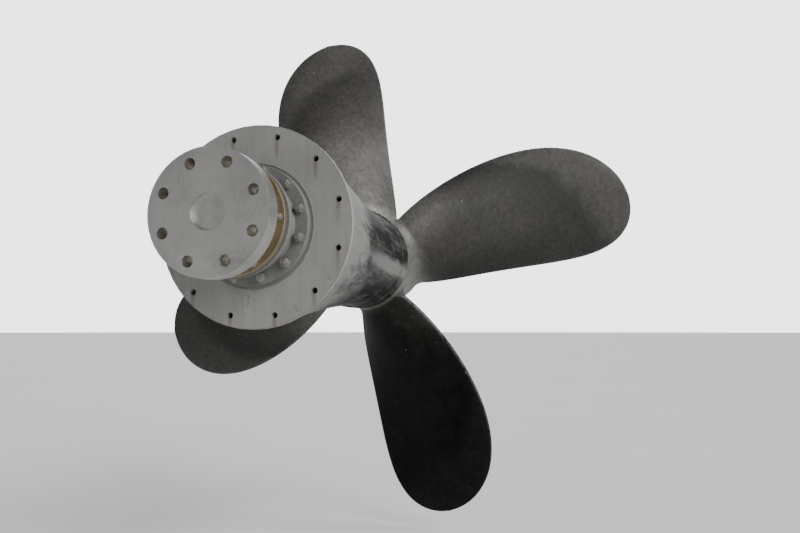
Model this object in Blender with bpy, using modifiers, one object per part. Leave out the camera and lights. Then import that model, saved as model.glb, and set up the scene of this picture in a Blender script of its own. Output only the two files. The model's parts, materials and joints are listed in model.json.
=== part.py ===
"""Ship propeller: a solid four-bladed right-hand wheel on its tail shaft, in the aft end of a stern boss.

X runs aft along the shaft, Y to starboard and Z up, in metres. The origin lies on the forward face of
the frame plate that the hull carries, straight above the shaft. Everything on the empty "shaft_line"
turns together; everything on the empty "stern" is fixed.
"""
import math

import bmesh
import bpy
from mathutils import Matrix, Vector

# Shared fits
GAP = 0.0003                    # between pieces that touch
JOURNAL_CLEARANCE = 0.0025      # liner to bush, on the radius
GLAND_CLEARANCE = 0.006         # liner to gland, on the radius
RUNNING_CLEARANCE = 0.015       # turning piece to fixed piece, along the shaft
TURN_STEPS = 48                 # flats around a turned piece
BOLT_SIDES = 12
SHAFT_DROP = 0.440              # origin down to the shaft axis

# Wall thicknesses, from the shaft outward
SHAFT_RADIUS = 0.170
LINER_THICKNESS = 0.0247
BUSH_WALL = 0.0272
TUBE_WALL = 0.037
TUBE_FLANGE_WIDTH = 0.068
TUBE_NUT_WIDTH = 0.063
BOSS_NECK_WALL = 0.0827
BOSS_WALL = 0.1197
GUARD_THICKNESS = 0.010
SHELL_THICKNESS = 0.018
SHELL_PLATES = 4
SHELL_FLARE = 0.163             # how far the bossing plates spread from the boss to the frame plate
SHELL_EASE = 1.35               # 1 is a straight cone; more keeps the plates slender near the boss
PLATE_MARGIN = 0.015            # frame plate outside the bossing plates

# Lengths along the shaft
PLATE_THICKNESS = 0.036
SHELL_LENGTH = 1.564
SHELL_STATIONS = 6
BARREL_LENGTH = 0.300
BOSS_CASTING_LENGTH = 0.820
TUBE_SEAT_LENGTH = 0.140
TUBE_STAND_OUT = 0.045
TUBE_FLANGE_THICKNESS = 0.045
TUBE_NUT_THICKNESS = 0.034
AFT_BUSH_LENGTH = 1.100
NECK_BUSH_LENGTH = 0.340
RETAINER_THICKNESS = 0.016
RETAINER_WIDTH = 0.025
GUARD_LAP = 0.045
GUARD_OVERHANG = 0.100
BOSS_EDGE = 0.012

# Holes in the frame plate
PLATE_BOLT_MARGIN = 0.060
PLATE_BOLT_RADIUS = 0.016
PLATE_BOLT_COUNT = 12

# Stuffing box and gland
BOX_LENGTH = 0.170
BOX_WALL = 0.037
BOX_FLANGE_WIDTH = 0.036
BOX_FLANGE_THICKNESS = 0.028
PACKING_LENGTH = 0.080
GLAND_FLANGE_THICKNESS = 0.030
GLAND_STAND_OFF = 0.0344
STUD_INSET = 0.032              # stud axis inside the flange's edge
STUD_RADIUS = 0.0125
STUD_LENGTH = 0.110
STUD_NUT_RADIUS = 0.0225
STUD_NUT_HEIGHT = 0.022
STUD_COUNT = 6

# Tail shaft, key and coupling
LINER_STAND_OUT = 0.070         # liner ahead of the gland
SHAFT_NECK_LENGTH = 0.070
COUPLING_RADIUS = 0.320
COUPLING_THICKNESS = 0.095
COUPLING_FILLET = 0.040
COUPLING_BOLT_MARGIN = 0.065
COUPLING_BOLT_RADIUS = 0.030
COUPLING_BOLT_COUNT = 8
SPIGOT_RADIUS = 0.090
SPIGOT_DEPTH = 0.020
TAPER_SLOPE = 1 / 24            # fall of the radius along the taper
TAPER_AFT_MARGIN = 0.030
THREAD_RADIUS = 0.115
THREAD_LENGTH = 0.225
THREAD_CHAMFER = 0.008
KEY_WIDTH = 0.080
KEY_HEIGHT = 0.044
KEY_LENGTH = 0.420
KEY_START = 0.110

# Propeller hub
HUB_LENGTH = 0.769
HUB_WALL = 0.212                # over the shaft, at the fullest place
HUB_FORWARD_FALL = 0.008
HUB_AFT_FALL = 0.060
HUB_FULL_SETBACK = 0.125        # shoulder to the fullest place
HUB_COLLAR_GAP = 0.045          # collar to the inside of the rope guard
HUB_RECESS_DEPTH = 0.030
SEAL_WIDTH = 0.030
SEAL_LAP = 0.020
HUB_EDGE = 0.012

# Blades
BLADE_COUNT = 4
BLADE_SETBACK = 0.185           # hub shoulder to the generator line
TIP_RADIUS = 2.200
PITCH = 2.400
RAKE = math.radians(14.8)
REST_TURN = math.radians(18.9)
CHORD_AT_ROOT = 0.681
CHORD_GROWTH = 0.707
CHORD_EASE = -0.198
TIP_ROUNDNESS = 5.43
SWEEP_AT_ROOT = -0.058
SWEEP_FORWARD = 0.412
SWEEP_BACK = -0.505
ROOT_THICKNESS = 0.172
TIP_THICKNESS = 0.020
EDGE_THICKNESS = 0.010
ROOT_FILLET = 0.075
BLADE_ROOT_DEPTH = 0.075        # how far the blades reach into the hub
ROOT_TRIM = 0.004               # hub shoulder to the trimmed forward end of the root fillets
BLADE_STATIONS = (0.08, 0.18, 0.29, 0.40, 0.51, 0.61, 0.70, 0.78, 0.85, 0.905, 0.948, 0.976, 0.991, 0.9985)
FILLET_STATIONS = (0.0, 0.06, 0.25, 0.55, 1.0)
POINTS_ON_SIDE = 11

# Propeller nut, its keepers and the fairwater cone
NUT_WALL = 0.100
NUT_THICKNESS = 0.150
KEEPER_SIZE = (0.034, 0.090, 0.044)
CONE_LENGTH = 0.615
CONE_THICKNESS = 0.022
CONE_ROUNDNESS = 2.0
CONE_FULLNESS = 0.80
CONE_STATIONS = 9

# Radii that follow
LINER_RADIUS = SHAFT_RADIUS + GAP + LINER_THICKNESS
BUSH_BORE_RADIUS = LINER_RADIUS + JOURNAL_CLEARANCE
TUBE_BORE_RADIUS = BUSH_BORE_RADIUS + BUSH_WALL + GAP
TUBE_RADIUS = TUBE_BORE_RADIUS + TUBE_WALL
BOSS_BORE_RADIUS = TUBE_RADIUS + GAP
BOSS_NECK_RADIUS = BOSS_BORE_RADIUS + BOSS_NECK_WALL
BOSS_RADIUS = BOSS_BORE_RADIUS + BOSS_WALL
SHELL_FOOT_RADIUS = BOSS_RADIUS + SHELL_FLARE
PLATE_RADIUS = SHELL_FOOT_RADIUS + PLATE_MARGIN
GUARD_BORE_RADIUS = BOSS_RADIUS + GAP
BOX_RADIUS = TUBE_BORE_RADIUS + BOX_WALL
BOX_FLANGE_RADIUS = BOX_RADIUS + BOX_FLANGE_WIDTH
HUB_MAX_RADIUS = SHAFT_RADIUS + HUB_WALL
HUB_FORWARD_RADIUS = HUB_MAX_RADIUS - HUB_FORWARD_FALL
HUB_AFT_RADIUS = HUB_MAX_RADIUS - HUB_AFT_FALL
HUB_COLLAR_RADIUS = GUARD_BORE_RADIUS - HUB_COLLAR_GAP
HUB_RECESS_RADIUS = LINER_RADIUS + SEAL_WIDTH
NUT_RADIUS = THREAD_RADIUS + NUT_WALL

# Places along the shaft that follow
BOSS_STEP_X = PLATE_THICKNESS + SHELL_LENGTH
BOSS_AFT_X = BOSS_STEP_X + BARREL_LENGTH
TUBE_AFT_X = BOSS_AFT_X + TUBE_STAND_OUT
GUARD_AFT_X = BOSS_AFT_X + GUARD_OVERHANG
BOX_BACK_X = -2 * GAP - TUBE_FLANGE_THICKNESS
BOX_FRONT_X = BOX_BACK_X - BOX_LENGTH
GLAND_FRONT_X = BOX_FRONT_X - GLAND_STAND_OFF - GLAND_FLANGE_THICKNESS
LINER_FORWARD_X = GLAND_FRONT_X - LINER_STAND_OUT
COUPLING_AFT_X = LINER_FORWARD_X - SHAFT_NECK_LENGTH
HUB_FORWARD_X = TUBE_AFT_X + GAP + RETAINER_THICKNESS + RUNNING_CLEARANCE
HUB_SHOULDER_X = GUARD_AFT_X + RUNNING_CLEARANCE
HUB_MAX_X = HUB_SHOULDER_X + HUB_FULL_SETBACK
HUB_AFT_X = HUB_FORWARD_X + HUB_LENGTH
LINER_AFT_X = HUB_FORWARD_X + SEAL_LAP
TAPER_START_X = HUB_FORWARD_X + HUB_RECESS_DEPTH + GAP
TAPER_END_X = HUB_AFT_X - TAPER_AFT_MARGIN
BLADE_X = HUB_SHOULDER_X + BLADE_SETBACK
CONE_BASE_X = HUB_AFT_X + GAP

# Colour, metallic and roughness of each finish
FINISHES = {
    "bronze": ((0.20, 0.185, 0.16), 0.85, 0.55),
    "cast_steel": ((0.30, 0.30, 0.29), 0.30, 0.75),
    "painted_plate": ((0.42, 0.42, 0.40), 0.00, 0.70),
    "machined_steel": ((0.52, 0.52, 0.51), 0.90, 0.35),
    "machined_bronze": ((0.55, 0.42, 0.24), 0.90, 0.35),
    "bearing": ((0.16, 0.12, 0.08), 0.00, 0.60),
    "packing": ((0.08, 0.08, 0.07), 0.00, 0.90),
}


def clear_scene():
    for item in list(bpy.data.objects):
        bpy.data.objects.remove(item, do_unlink=True)


def new_collection(name):
    collection = bpy.data.collections.new(name)
    bpy.context.scene.collection.children.link(collection)
    return collection


def new_material(name):
    colour, metallic, roughness = FINISHES[name]
    material = bpy.data.materials.new(name)
    material.use_nodes = True
    shader = material.node_tree.nodes["Principled BSDF"]
    shader.inputs["Base Color"].default_value = (*colour, 1.0)
    shader.inputs["Metallic"].default_value = metallic
    shader.inputs["Roughness"].default_value = roughness
    return material


class Builder:
    """Holds the two collections, the materials and the two empties that carry the pieces."""

    def __init__(self):
        self.parts = new_collection("ship_propeller")
        self.cutters = new_collection("cutters")
        self.materials = {name: new_material(name) for name in FINISHES}
        self.stern = self.empty("stern")
        self.shaft_line = self.empty("shaft_line")

    def empty(self, name):
        """An empty on the shaft axis whose local Z points aft and whose local X points down."""
        item = bpy.data.objects.new(name, None)
        item.location = (0.0, 0.0, -SHAFT_DROP)
        item.rotation_euler = (0.0, math.pi / 2, 0.0)
        self.parts.objects.link(item)
        return item

    def add(self, name, mesh, carrier, finish):
        item = bpy.data.objects.new(name, mesh)
        item.parent = carrier
        mesh.materials.append(self.materials[finish])
        self.parts.objects.link(item)
        return item

    def add_cutter(self, name, mesh, carrier):
        item = bpy.data.objects.new(name, mesh)
        item.parent = carrier
        item.hide_render = True
        item.display_type = "WIRE"
        self.cutters.objects.link(item)
        return item

    def turned(self, name, profile, carrier, finish, closed=True):
        """A turned piece from (x, radius) points: aft to forward outside, then forward to aft inside."""
        item = self.add(name, profile_mesh(name, profile, closed), carrier, finish)
        add_screw(item, TURN_STEPS)
        return item


def profile_mesh(name, profile, closed):
    mesh = bpy.data.meshes.new(name)
    count = len(profile)
    edges = [(i, i + 1) for i in range(count - 1)]
    if closed:
        edges.append((count - 1, 0))
    mesh.from_pydata([(radius, 0.0, x) for x, radius in profile], edges, [])
    return mesh


def add_screw(item, steps):
    screw = item.modifiers.new("turn", "SCREW")
    screw.axis = "Z"
    screw.angle = 2 * math.pi
    screw.steps = steps
    screw.render_steps = steps
    screw.use_merge_vertices = True
    screw.merge_threshold = 0.00001
    screw.use_smooth_shade = False


def cut(item, cutter, operation="DIFFERENCE"):
    boolean = item.modifiers.new(cutter.name, "BOOLEAN")
    boolean.operation = operation
    boolean.solver = "EXACT"
    boolean.object = cutter


def cylinder(mesh_name, radius, low_x, high_x, sides, places=((0.0, 0.0),)):
    """Cylinders along the shaft, each at a (local x, local y) place."""
    mesh = bpy.data.meshes.new(mesh_name)
    shape = bmesh.new()
    for x, y in places:
        middle = Matrix.Translation((x, y, (low_x + high_x) / 2))
        bmesh.ops.create_cone(shape, cap_ends=True, segments=sides, radius1=radius, radius2=radius,
                              depth=high_x - low_x, matrix=middle)
    shape.to_mesh(mesh)
    shape.free()
    return mesh


def box(mesh_name, size, centre, turn=Matrix.Identity(4)):
    mesh = bpy.data.meshes.new(mesh_name)
    shape = bmesh.new()
    place = Matrix.Translation(centre) @ turn @ Matrix.Diagonal((*size, 1.0))
    bmesh.ops.create_cube(shape, size=1.0, matrix=place)
    shape.to_mesh(mesh)
    shape.free()
    return mesh


def wedge(mesh_name, start, span, inset, reach, low_x, high_x):
    """A sector prism whose sides stand off by inset from the radial planes at its two ends."""
    middle = start + span / 2
    shift = inset / math.sin(span / 2)
    apex = Vector((shift * math.cos(middle), shift * math.sin(middle), low_x))
    shape = bmesh.new()
    corners = [shape.verts.new(apex)]
    for i in range(5):
        angle = start + span * i / 4
        corners.append(shape.verts.new(apex + reach * Vector((math.cos(angle), math.sin(angle), 0.0))))
    face = shape.faces.new(corners)
    raised = bmesh.ops.extrude_face_region(shape, geom=[face])["geom"]
    tops = [item for item in raised if isinstance(item, bmesh.types.BMVert)]
    bmesh.ops.translate(shape, verts=tops, vec=(0.0, 0.0, high_x - low_x))
    bmesh.ops.recalc_face_normals(shape, faces=shape.faces)
    mesh = bpy.data.meshes.new(mesh_name)
    shape.to_mesh(mesh)
    shape.free()
    return mesh


def seam_cut(build, item, index, count, low_x, high_x):
    """Keep one of count equal sectors of a ring, with a fine seam to its neighbours."""
    span = 2 * math.pi / count
    margin = PLATE_THICKNESS
    sector = wedge(item.name + "_sector", index * span, span, GAP, 3 * PLATE_RADIUS, low_x - margin,
                   high_x + margin)
    cut(item, build.add_cutter(item.name + "_sector", sector, build.stern), "INTERSECT")


def circle_places(radius, count, start=0.0):
    angles = [start + 2 * math.pi * i / count for i in range(count)]
    return [(radius * math.cos(angle), radius * math.sin(angle)) for angle in angles]


# Fixed pieces

def frame_plate(build):
    bore = BOSS_NECK_RADIUS + GAP
    plate = build.turned("frame_plate", [
        (PLATE_THICKNESS, PLATE_RADIUS), (0.0, PLATE_RADIUS), (0.0, bore), (PLATE_THICKNESS, bore)],
        build.stern, "painted_plate")
    places = circle_places(PLATE_RADIUS - PLATE_BOLT_MARGIN, PLATE_BOLT_COUNT, math.pi / PLATE_BOLT_COUNT)
    holes = cylinder("plate_holes", PLATE_BOLT_RADIUS, -PLATE_THICKNESS, 2 * PLATE_THICKNESS, BOLT_SIDES,
                     places)
    cut(plate, build.add_cutter("plate_holes", holes, build.stern))


def shell_radius(x):
    """Outside of the bossing plates: it meets the boss and spreads forward to the frame plate."""
    share = (BOSS_STEP_X - x) / SHELL_LENGTH
    return BOSS_RADIUS + SHELL_FLARE * share ** SHELL_EASE


def boss_casting(build):
    """The boss that carries the aft bush. The bossing plates land on its step."""
    land = BOSS_RADIUS - SHELL_THICKNESS - GAP
    front = BOSS_AFT_X - BOSS_CASTING_LENGTH
    build.turned("boss_casting", [
        (BOSS_AFT_X, BOSS_RADIUS - BOSS_EDGE), (BOSS_AFT_X - BOSS_EDGE, BOSS_RADIUS),
        (BOSS_STEP_X, BOSS_RADIUS), (BOSS_STEP_X, land), (BOSS_STEP_X - SHELL_THICKNESS, BOSS_NECK_RADIUS),
        (front, BOSS_NECK_RADIUS), (front, BOSS_BORE_RADIUS), (BOSS_AFT_X, BOSS_BORE_RADIUS)],
        build.stern, "cast_steel")


def tube_seat(build):
    """The ring in the frame plate that the stern tube's forward flange is drawn against."""
    build.turned("tube_seat", [
        (TUBE_SEAT_LENGTH, BOSS_NECK_RADIUS), (0.0, BOSS_NECK_RADIUS), (0.0, BOSS_BORE_RADIUS),
        (TUBE_SEAT_LENGTH, BOSS_BORE_RADIUS)], build.stern, "cast_steel")


def bossing_plates(build):
    """Shell plates from the frame plate to the boss, butted along their seams."""
    foot, land = PLATE_THICKNESS + GAP, BOSS_STEP_X - GAP
    stations = [land + (foot - land) * i / SHELL_STATIONS for i in range(SHELL_STATIONS + 1)]
    outside = [(x, shell_radius(x)) for x in stations]
    inside = [(x, shell_radius(x) - SHELL_THICKNESS) for x in reversed(stations)]
    for i, side in enumerate(("lower_starboard", "upper_starboard", "upper_port", "lower_port")):
        name = "bossing_plate_" + side
        plate = build.turned(name, outside + inside, build.stern, "painted_plate")
        seam_cut(build, plate, i, SHELL_PLATES, foot, land)


def stern_tube(build):
    back = -GAP
    front = back - TUBE_FLANGE_THICKNESS
    rim = TUBE_RADIUS + TUBE_FLANGE_WIDTH
    build.turned("stern_tube", [
        (TUBE_AFT_X, TUBE_RADIUS), (back, TUBE_RADIUS), (back, rim), (front, rim),
        (front, TUBE_BORE_RADIUS), (TUBE_AFT_X, TUBE_BORE_RADIUS)], build.stern, "cast_steel")
    near = BOSS_AFT_X + GAP
    far = near + TUBE_NUT_THICKNESS
    rim = TUBE_RADIUS + TUBE_NUT_WIDTH
    bore = TUBE_RADIUS + GAP
    build.turned("stern_tube_nut", [(far, rim), (near, rim), (near, bore), (far, bore)],
                 build.stern, "cast_steel")


def bushes(build):
    outside = TUBE_BORE_RADIUS - GAP
    neck_forward = -GAP - TUBE_FLANGE_THICKNESS
    spans = {"aft_bush": (TUBE_AFT_X - AFT_BUSH_LENGTH, TUBE_AFT_X),
             "neck_bush": (neck_forward, neck_forward + NECK_BUSH_LENGTH)}
    for name, (forward, aft) in spans.items():
        build.turned(name, [
            (aft, outside), (forward, outside), (forward, BUSH_BORE_RADIUS), (aft, BUSH_BORE_RADIUS)],
            build.stern, "bearing")
    near = TUBE_AFT_X + GAP
    far = near + RETAINER_THICKNESS
    rim = TUBE_BORE_RADIUS + RETAINER_WIDTH
    bore = BUSH_BORE_RADIUS + JOURNAL_CLEARANCE
    build.turned("bush_retainer", [(far, rim), (near, rim), (near, bore), (far, bore)],
                 build.stern, "machined_bronze")


def stuffing_box(build):
    step = BOX_FRONT_X + BOX_FLANGE_THICKNESS
    build.turned("stuffing_box", [
        (BOX_BACK_X, BOX_RADIUS), (step, BOX_RADIUS), (step, BOX_FLANGE_RADIUS),
        (BOX_FRONT_X, BOX_FLANGE_RADIUS), (BOX_FRONT_X, TUBE_BORE_RADIUS), (BOX_BACK_X, TUBE_BORE_RADIUS)],
        build.stern, "cast_steel")
    outside = TUBE_BORE_RADIUS - GAP
    back = BOX_BACK_X - GAP
    front = back - PACKING_LENGTH
    build.turned("packing", [
        (back, outside), (front, outside), (front, BUSH_BORE_RADIUS), (back, BUSH_BORE_RADIUS)],
        build.stern, "packing")
    gland(build, front - GAP, outside)


def gland(build, sleeve_end, outside):
    """The gland ring, whose sleeve bears on the packing, and its studs."""
    inside = LINER_RADIUS + GLAND_CLEARANCE
    flange_back = GLAND_FRONT_X + GLAND_FLANGE_THICKNESS
    ring = build.turned("gland", [
        (sleeve_end, outside), (flange_back, outside), (flange_back, BOX_FLANGE_RADIUS),
        (GLAND_FRONT_X, BOX_FLANGE_RADIUS), (GLAND_FRONT_X, inside), (sleeve_end, inside)],
        build.stern, "machined_bronze")
    places = circle_places(BOX_FLANGE_RADIUS - STUD_INSET, STUD_COUNT, math.pi / STUD_COUNT)
    holes = cylinder("stud_holes", STUD_RADIUS + GAP, GLAND_FRONT_X - STUD_RADIUS, flange_back + STUD_RADIUS,
                     BOLT_SIDES, places)
    cut(ring, build.add_cutter("stud_holes", holes, build.stern))
    for i, place in enumerate(places):
        gland_stud(build, i + 1, place)


def gland_stud(build, number, place):
    """A stud that stands on the stuffing box, with the nut that holds the gland."""
    name = "gland_stud_%d" % number
    back = BOX_FRONT_X - GAP
    nut_back = GLAND_FRONT_X - GAP
    stud = build.add(name, cylinder(name, STUD_RADIUS, back - STUD_LENGTH, back, BOLT_SIDES, [place]),
                     build.stern, "machined_steel")
    nut = cylinder(name + "_nut", STUD_NUT_RADIUS, nut_back - STUD_NUT_HEIGHT, nut_back, 6, [place])
    cut(stud, build.add_cutter(name + "_nut", nut, build.stern), "UNION")


def rope_guards(build):
    """Two half rings of plate that lap over the boss and cover the gap to the hub."""
    start = BOSS_AFT_X - GUARD_LAP
    inside = GUARD_BORE_RADIUS
    outside = inside + GUARD_THICKNESS
    profile = [(GUARD_AFT_X, outside), (start, outside), (start, inside), (GUARD_AFT_X, inside)]
    for i, side in enumerate(("starboard", "port")):
        guard = build.turned("rope_guard_" + side, profile, build.stern, "painted_plate")
        seam_cut(build, guard, i, 2, start, GUARD_AFT_X)


# Turning pieces

def taper_radius(x):
    return SHAFT_RADIUS - TAPER_SLOPE * (x - TAPER_START_X)


def tail_shaft(build):
    end = TAPER_END_X + THREAD_LENGTH
    front = COUPLING_AFT_X - COUPLING_THICKNESS
    bend = COUPLING_FILLET * 0.3
    shaft = build.turned("tail_shaft", [
        (end, 0.0), (end, THREAD_RADIUS - THREAD_CHAMFER), (end - THREAD_CHAMFER, THREAD_RADIUS),
        (TAPER_END_X, THREAD_RADIUS), (TAPER_END_X, taper_radius(TAPER_END_X)), (TAPER_START_X, SHAFT_RADIUS),
        (COUPLING_AFT_X + COUPLING_FILLET, SHAFT_RADIUS),
        (COUPLING_AFT_X + bend, SHAFT_RADIUS + bend),
        (COUPLING_AFT_X, SHAFT_RADIUS + COUPLING_FILLET), (COUPLING_AFT_X, COUPLING_RADIUS),
        (front, COUPLING_RADIUS), (front, SPIGOT_RADIUS), (front + SPIGOT_DEPTH, SPIGOT_RADIUS),
        (front + SPIGOT_DEPTH, 0.0)], build.shaft_line, "machined_steel", closed=False)
    places = circle_places(COUPLING_RADIUS - COUPLING_BOLT_MARGIN, COUPLING_BOLT_COUNT,
                           math.pi / COUPLING_BOLT_COUNT)
    holes = cylinder("coupling_holes", COUPLING_BOLT_RADIUS, front - COUPLING_THICKNESS,
                     COUPLING_AFT_X + COUPLING_THICKNESS, BOLT_SIDES, places)
    cut(shaft, build.add_cutter("coupling_holes", holes, build.shaft_line))
    cut(shaft, key_cutter(build))
    return shaft


def shaft_liner(build):
    inside = SHAFT_RADIUS + GAP
    build.turned("shaft_liner", [
        (LINER_AFT_X, LINER_RADIUS), (LINER_FORWARD_X, LINER_RADIUS), (LINER_FORWARD_X, inside),
        (LINER_AFT_X, inside)], build.shaft_line, "machined_bronze")
    near = HUB_FORWARD_X
    far = LINER_AFT_X
    build.turned("seal_ring", [
        (far, HUB_RECESS_RADIUS - GAP), (near, HUB_RECESS_RADIUS - GAP), (near, LINER_RADIUS + GAP),
        (far, LINER_RADIUS + GAP)], build.shaft_line, "packing")


def key_box(name, clearance):
    """The key, half sunk in the taper and lying along it, on the side away from local X."""
    middle = TAPER_START_X + KEY_START + KEY_LENGTH / 2
    centre = (-taper_radius(middle), 0.0, middle)
    turn = Matrix.Rotation(math.atan(TAPER_SLOPE), 4, "Y")
    size = (KEY_HEIGHT + 2 * clearance, KEY_WIDTH + 2 * clearance, KEY_LENGTH + 2 * clearance)
    return box(name, size, centre, turn)


def key_cutter(build):
    found = bpy.data.objects.get("keyway")
    return found or build.add_cutter("keyway", key_box("keyway", GAP), build.shaft_line)


def shaft_key(build):
    build.add("shaft_key", key_box("shaft_key", 0.0), build.shaft_line, "machined_steel")


def hub_radius(x):
    """Outside of the hub: fullest near the blades' leading edges, then falling aft."""
    if x < HUB_MAX_X:
        share = (HUB_MAX_X - x) / (HUB_MAX_X - HUB_SHOULDER_X)
        return HUB_MAX_RADIUS - (HUB_MAX_RADIUS - HUB_FORWARD_RADIUS) * share ** 2
    share = (x - HUB_MAX_X) / (HUB_AFT_X - HUB_MAX_X)
    return HUB_MAX_RADIUS - (HUB_MAX_RADIUS - HUB_AFT_RADIUS) * share ** 1.6


def chord(radius):
    t = (max(radius, HUB_FORWARD_RADIUS) - HUB_FORWARD_RADIUS) / (TIP_RADIUS - HUB_FORWARD_RADIUS)
    width = CHORD_AT_ROOT + CHORD_GROWTH * t + CHORD_EASE * t ** 2
    return width * math.sqrt(1.0 - t ** TIP_ROUNDNESS)


def sweep(radius):
    t = (max(radius, HUB_FORWARD_RADIUS) - HUB_FORWARD_RADIUS) / (TIP_RADIUS - HUB_FORWARD_RADIUS)
    return SWEEP_AT_ROOT + SWEEP_FORWARD * t + SWEEP_BACK * t ** 2


def thickness(radius):
    t = (radius - HUB_FORWARD_RADIUS) / (TIP_RADIUS - HUB_FORWARD_RADIUS)
    return ROOT_THICKNESS + (TIP_THICKNESS - ROOT_THICKNESS) * min(max(t, 0.0), 1.0) ** 0.9


def fillet(height):
    """How far the root fillet stands out from the blade, at a height above the hub."""
    if height >= ROOT_FILLET:
        return 0.0
    fall = ROOT_FILLET - max(height, 0.0)
    return ROOT_FILLET - math.sqrt(ROOT_FILLET ** 2 - fall ** 2)


def blade_section(radius):
    """Points round the blade where it meets a cylinder: (x, arc) along the helix, back side first."""
    pitch_angle = math.atan2(PITCH, 2 * math.pi * radius)
    lead = Vector((-math.sin(pitch_angle), math.cos(pitch_angle)))
    out = Vector((-math.cos(pitch_angle), -math.sin(pitch_angle)))
    middle = Vector((BLADE_X + radius * math.tan(RAKE), 0.0))
    width = chord(radius)
    thick = max(thickness(radius), EDGE_THICKNESS)
    edge = min(EDGE_THICKNESS, width / 4)

    def point(share, height, overhang):
        bare = middle + lead * (sweep(radius) + width * (0.5 - share) + overhang) + out * height
        flare = fillet(radius - hub_radius(bare.x))
        along = math.copysign(flare, 0.5 - share) if overhang else flare * (1.0 - 2.0 * share)
        across = 0.0 if overhang else math.copysign(flare, height)
        spot = bare + lead * along + out * across
        return Vector((max(spot.x, HUB_SHOULDER_X + ROOT_TRIM), spot.y))

    shares = [0.5 - 0.5 * math.cos(math.pi * i / (POINTS_ON_SIDE - 1)) for i in range(POINTS_ON_SIDE)]
    swell = thick - edge
    back = [point(s, edge / 2 + swell * (1.0 - abs(2.0 * s ** 0.8 - 1.0) ** 2.2), 0.0) for s in shares]
    face = [point(s, -edge / 2, 0.0) for s in reversed(shares)]
    return back + [point(1.0, 0.0, -edge / 2)] + face + [point(0.0, 0.0, edge / 2)]


def blade_radii():
    root = hub_radius(HUB_MAX_X)
    fillets = [root + ROOT_FILLET * share for share in FILLET_STATIONS]
    start = fillets[-1]
    outer = [start + (TIP_RADIUS - start) * share for share in BLADE_STATIONS]
    return [root - BLADE_ROOT_DEPTH, HUB_AFT_RADIUS] + fillets + outer


def close_section(shape, ring):
    """Close an end of the blade with strips from its back to its face, which follow the curve."""
    back = ring[:POINTS_ON_SIDE]
    face = ring[2 * POINTS_ON_SIDE:POINTS_ON_SIDE:-1]
    trailing, leading = ring[POINTS_ON_SIDE], ring[-1]
    for i in range(POINTS_ON_SIDE - 1):
        shape.faces.new((back[i], back[i + 1], face[i + 1], face[i]))
    shape.faces.new((back[-1], trailing, face[-1]))
    shape.faces.new((back[0], face[0], leading))


def blade_mesh(name, turn):
    """One blade, lofted through its sections. The local X axis points down and local Z aft."""
    shape = bmesh.new()
    rings = []
    for radius in blade_radii():
        ring = []
        for x, arc in blade_section(radius):
            angle = turn + arc / radius
            ring.append(shape.verts.new((-radius * math.sin(angle), -radius * math.cos(angle), x)))
        rings.append(ring)
    count = len(rings[0])
    for low, high in zip(rings, rings[1:]):
        for i in range(count):
            j = (i + 1) % count
            shape.faces.new((low[i], low[j], high[j], high[i]))
    for ring in (rings[0], rings[-1]):
        close_section(shape, ring)
    bmesh.ops.recalc_face_normals(shape, faces=shape.faces)
    mesh = bpy.data.meshes.new(name)
    shape.to_mesh(mesh)
    shape.free()
    return mesh


def propeller(build):
    """Hub and blades are one casting."""
    shares = (0.0, 0.2, 0.45, 0.7, 1.0)
    swell = HUB_AFT_X - HUB_EDGE - HUB_MAX_X
    spans = [HUB_SHOULDER_X] + [HUB_MAX_X + swell * share for share in shares]
    outer = [(x, hub_radius(x)) for x in reversed(spans)]
    recess = HUB_FORWARD_X + HUB_RECESS_DEPTH
    hub = build.turned("propeller", [
        (HUB_AFT_X, HUB_AFT_RADIUS - HUB_EDGE)] + outer + [
        (HUB_SHOULDER_X, HUB_COLLAR_RADIUS), (HUB_FORWARD_X, HUB_COLLAR_RADIUS),
        (HUB_FORWARD_X, HUB_RECESS_RADIUS), (recess, HUB_RECESS_RADIUS), (recess, taper_radius(recess) + GAP),
        (HUB_AFT_X, taper_radius(HUB_AFT_X) + GAP)], build.shaft_line, "bronze")
    for i in range(BLADE_COUNT):
        name = "blade_%d" % (i + 1)
        turn = REST_TURN + 2 * math.pi * i / BLADE_COUNT
        cut(hub, build.add_cutter(name, blade_mesh(name, turn), build.shaft_line), "UNION")
    cut(hub, key_cutter(build))


def propeller_nut(build):
    near = HUB_AFT_X + GAP
    nut = build.add("propeller_nut", cylinder("propeller_nut", NUT_RADIUS, near, near + NUT_THICKNESS, 6),
                    build.shaft_line, "machined_steel")
    hole = cylinder("nut_hole", THREAD_RADIUS + GAP, near - NUT_THICKNESS, near + 2 * NUT_THICKNESS,
                    TURN_STEPS)
    cut(nut, build.add_cutter("nut_hole", hole, build.shaft_line))
    flat = NUT_RADIUS * math.cos(math.pi / 6)
    for i, side in enumerate(("upper", "lower")):
        name = "nut_keeper_" + side
        reach = flat + GAP + KEEPER_SIZE[0] / 2
        centre = (reach * (1 if i else -1), 0.0, near + KEEPER_SIZE[2] / 2)
        build.add(name, box(name, KEEPER_SIZE, centre), build.shaft_line, "machined_steel")


def fairwater_cone(build):
    def outline(radius, reach):
        shares = [math.sin(math.pi / 2 * i / CONE_STATIONS) for i in range(CONE_STATIONS + 1)]
        return [(CONE_BASE_X + reach * s, radius * (1.0 - s ** CONE_ROUNDNESS) ** CONE_FULLNESS)
                for s in shares]

    base = HUB_AFT_RADIUS - HUB_EDGE
    outside = outline(base, CONE_LENGTH)
    inside = outline(base - CONE_THICKNESS, CONE_LENGTH - CONE_THICKNESS)
    outside[-1] = (outside[-1][0], 0.0)
    inside[-1] = (inside[-1][0], 0.0)
    build.turned("fairwater_cone", list(reversed(outside)) + inside, build.shaft_line, "bronze", closed=False)


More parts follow.
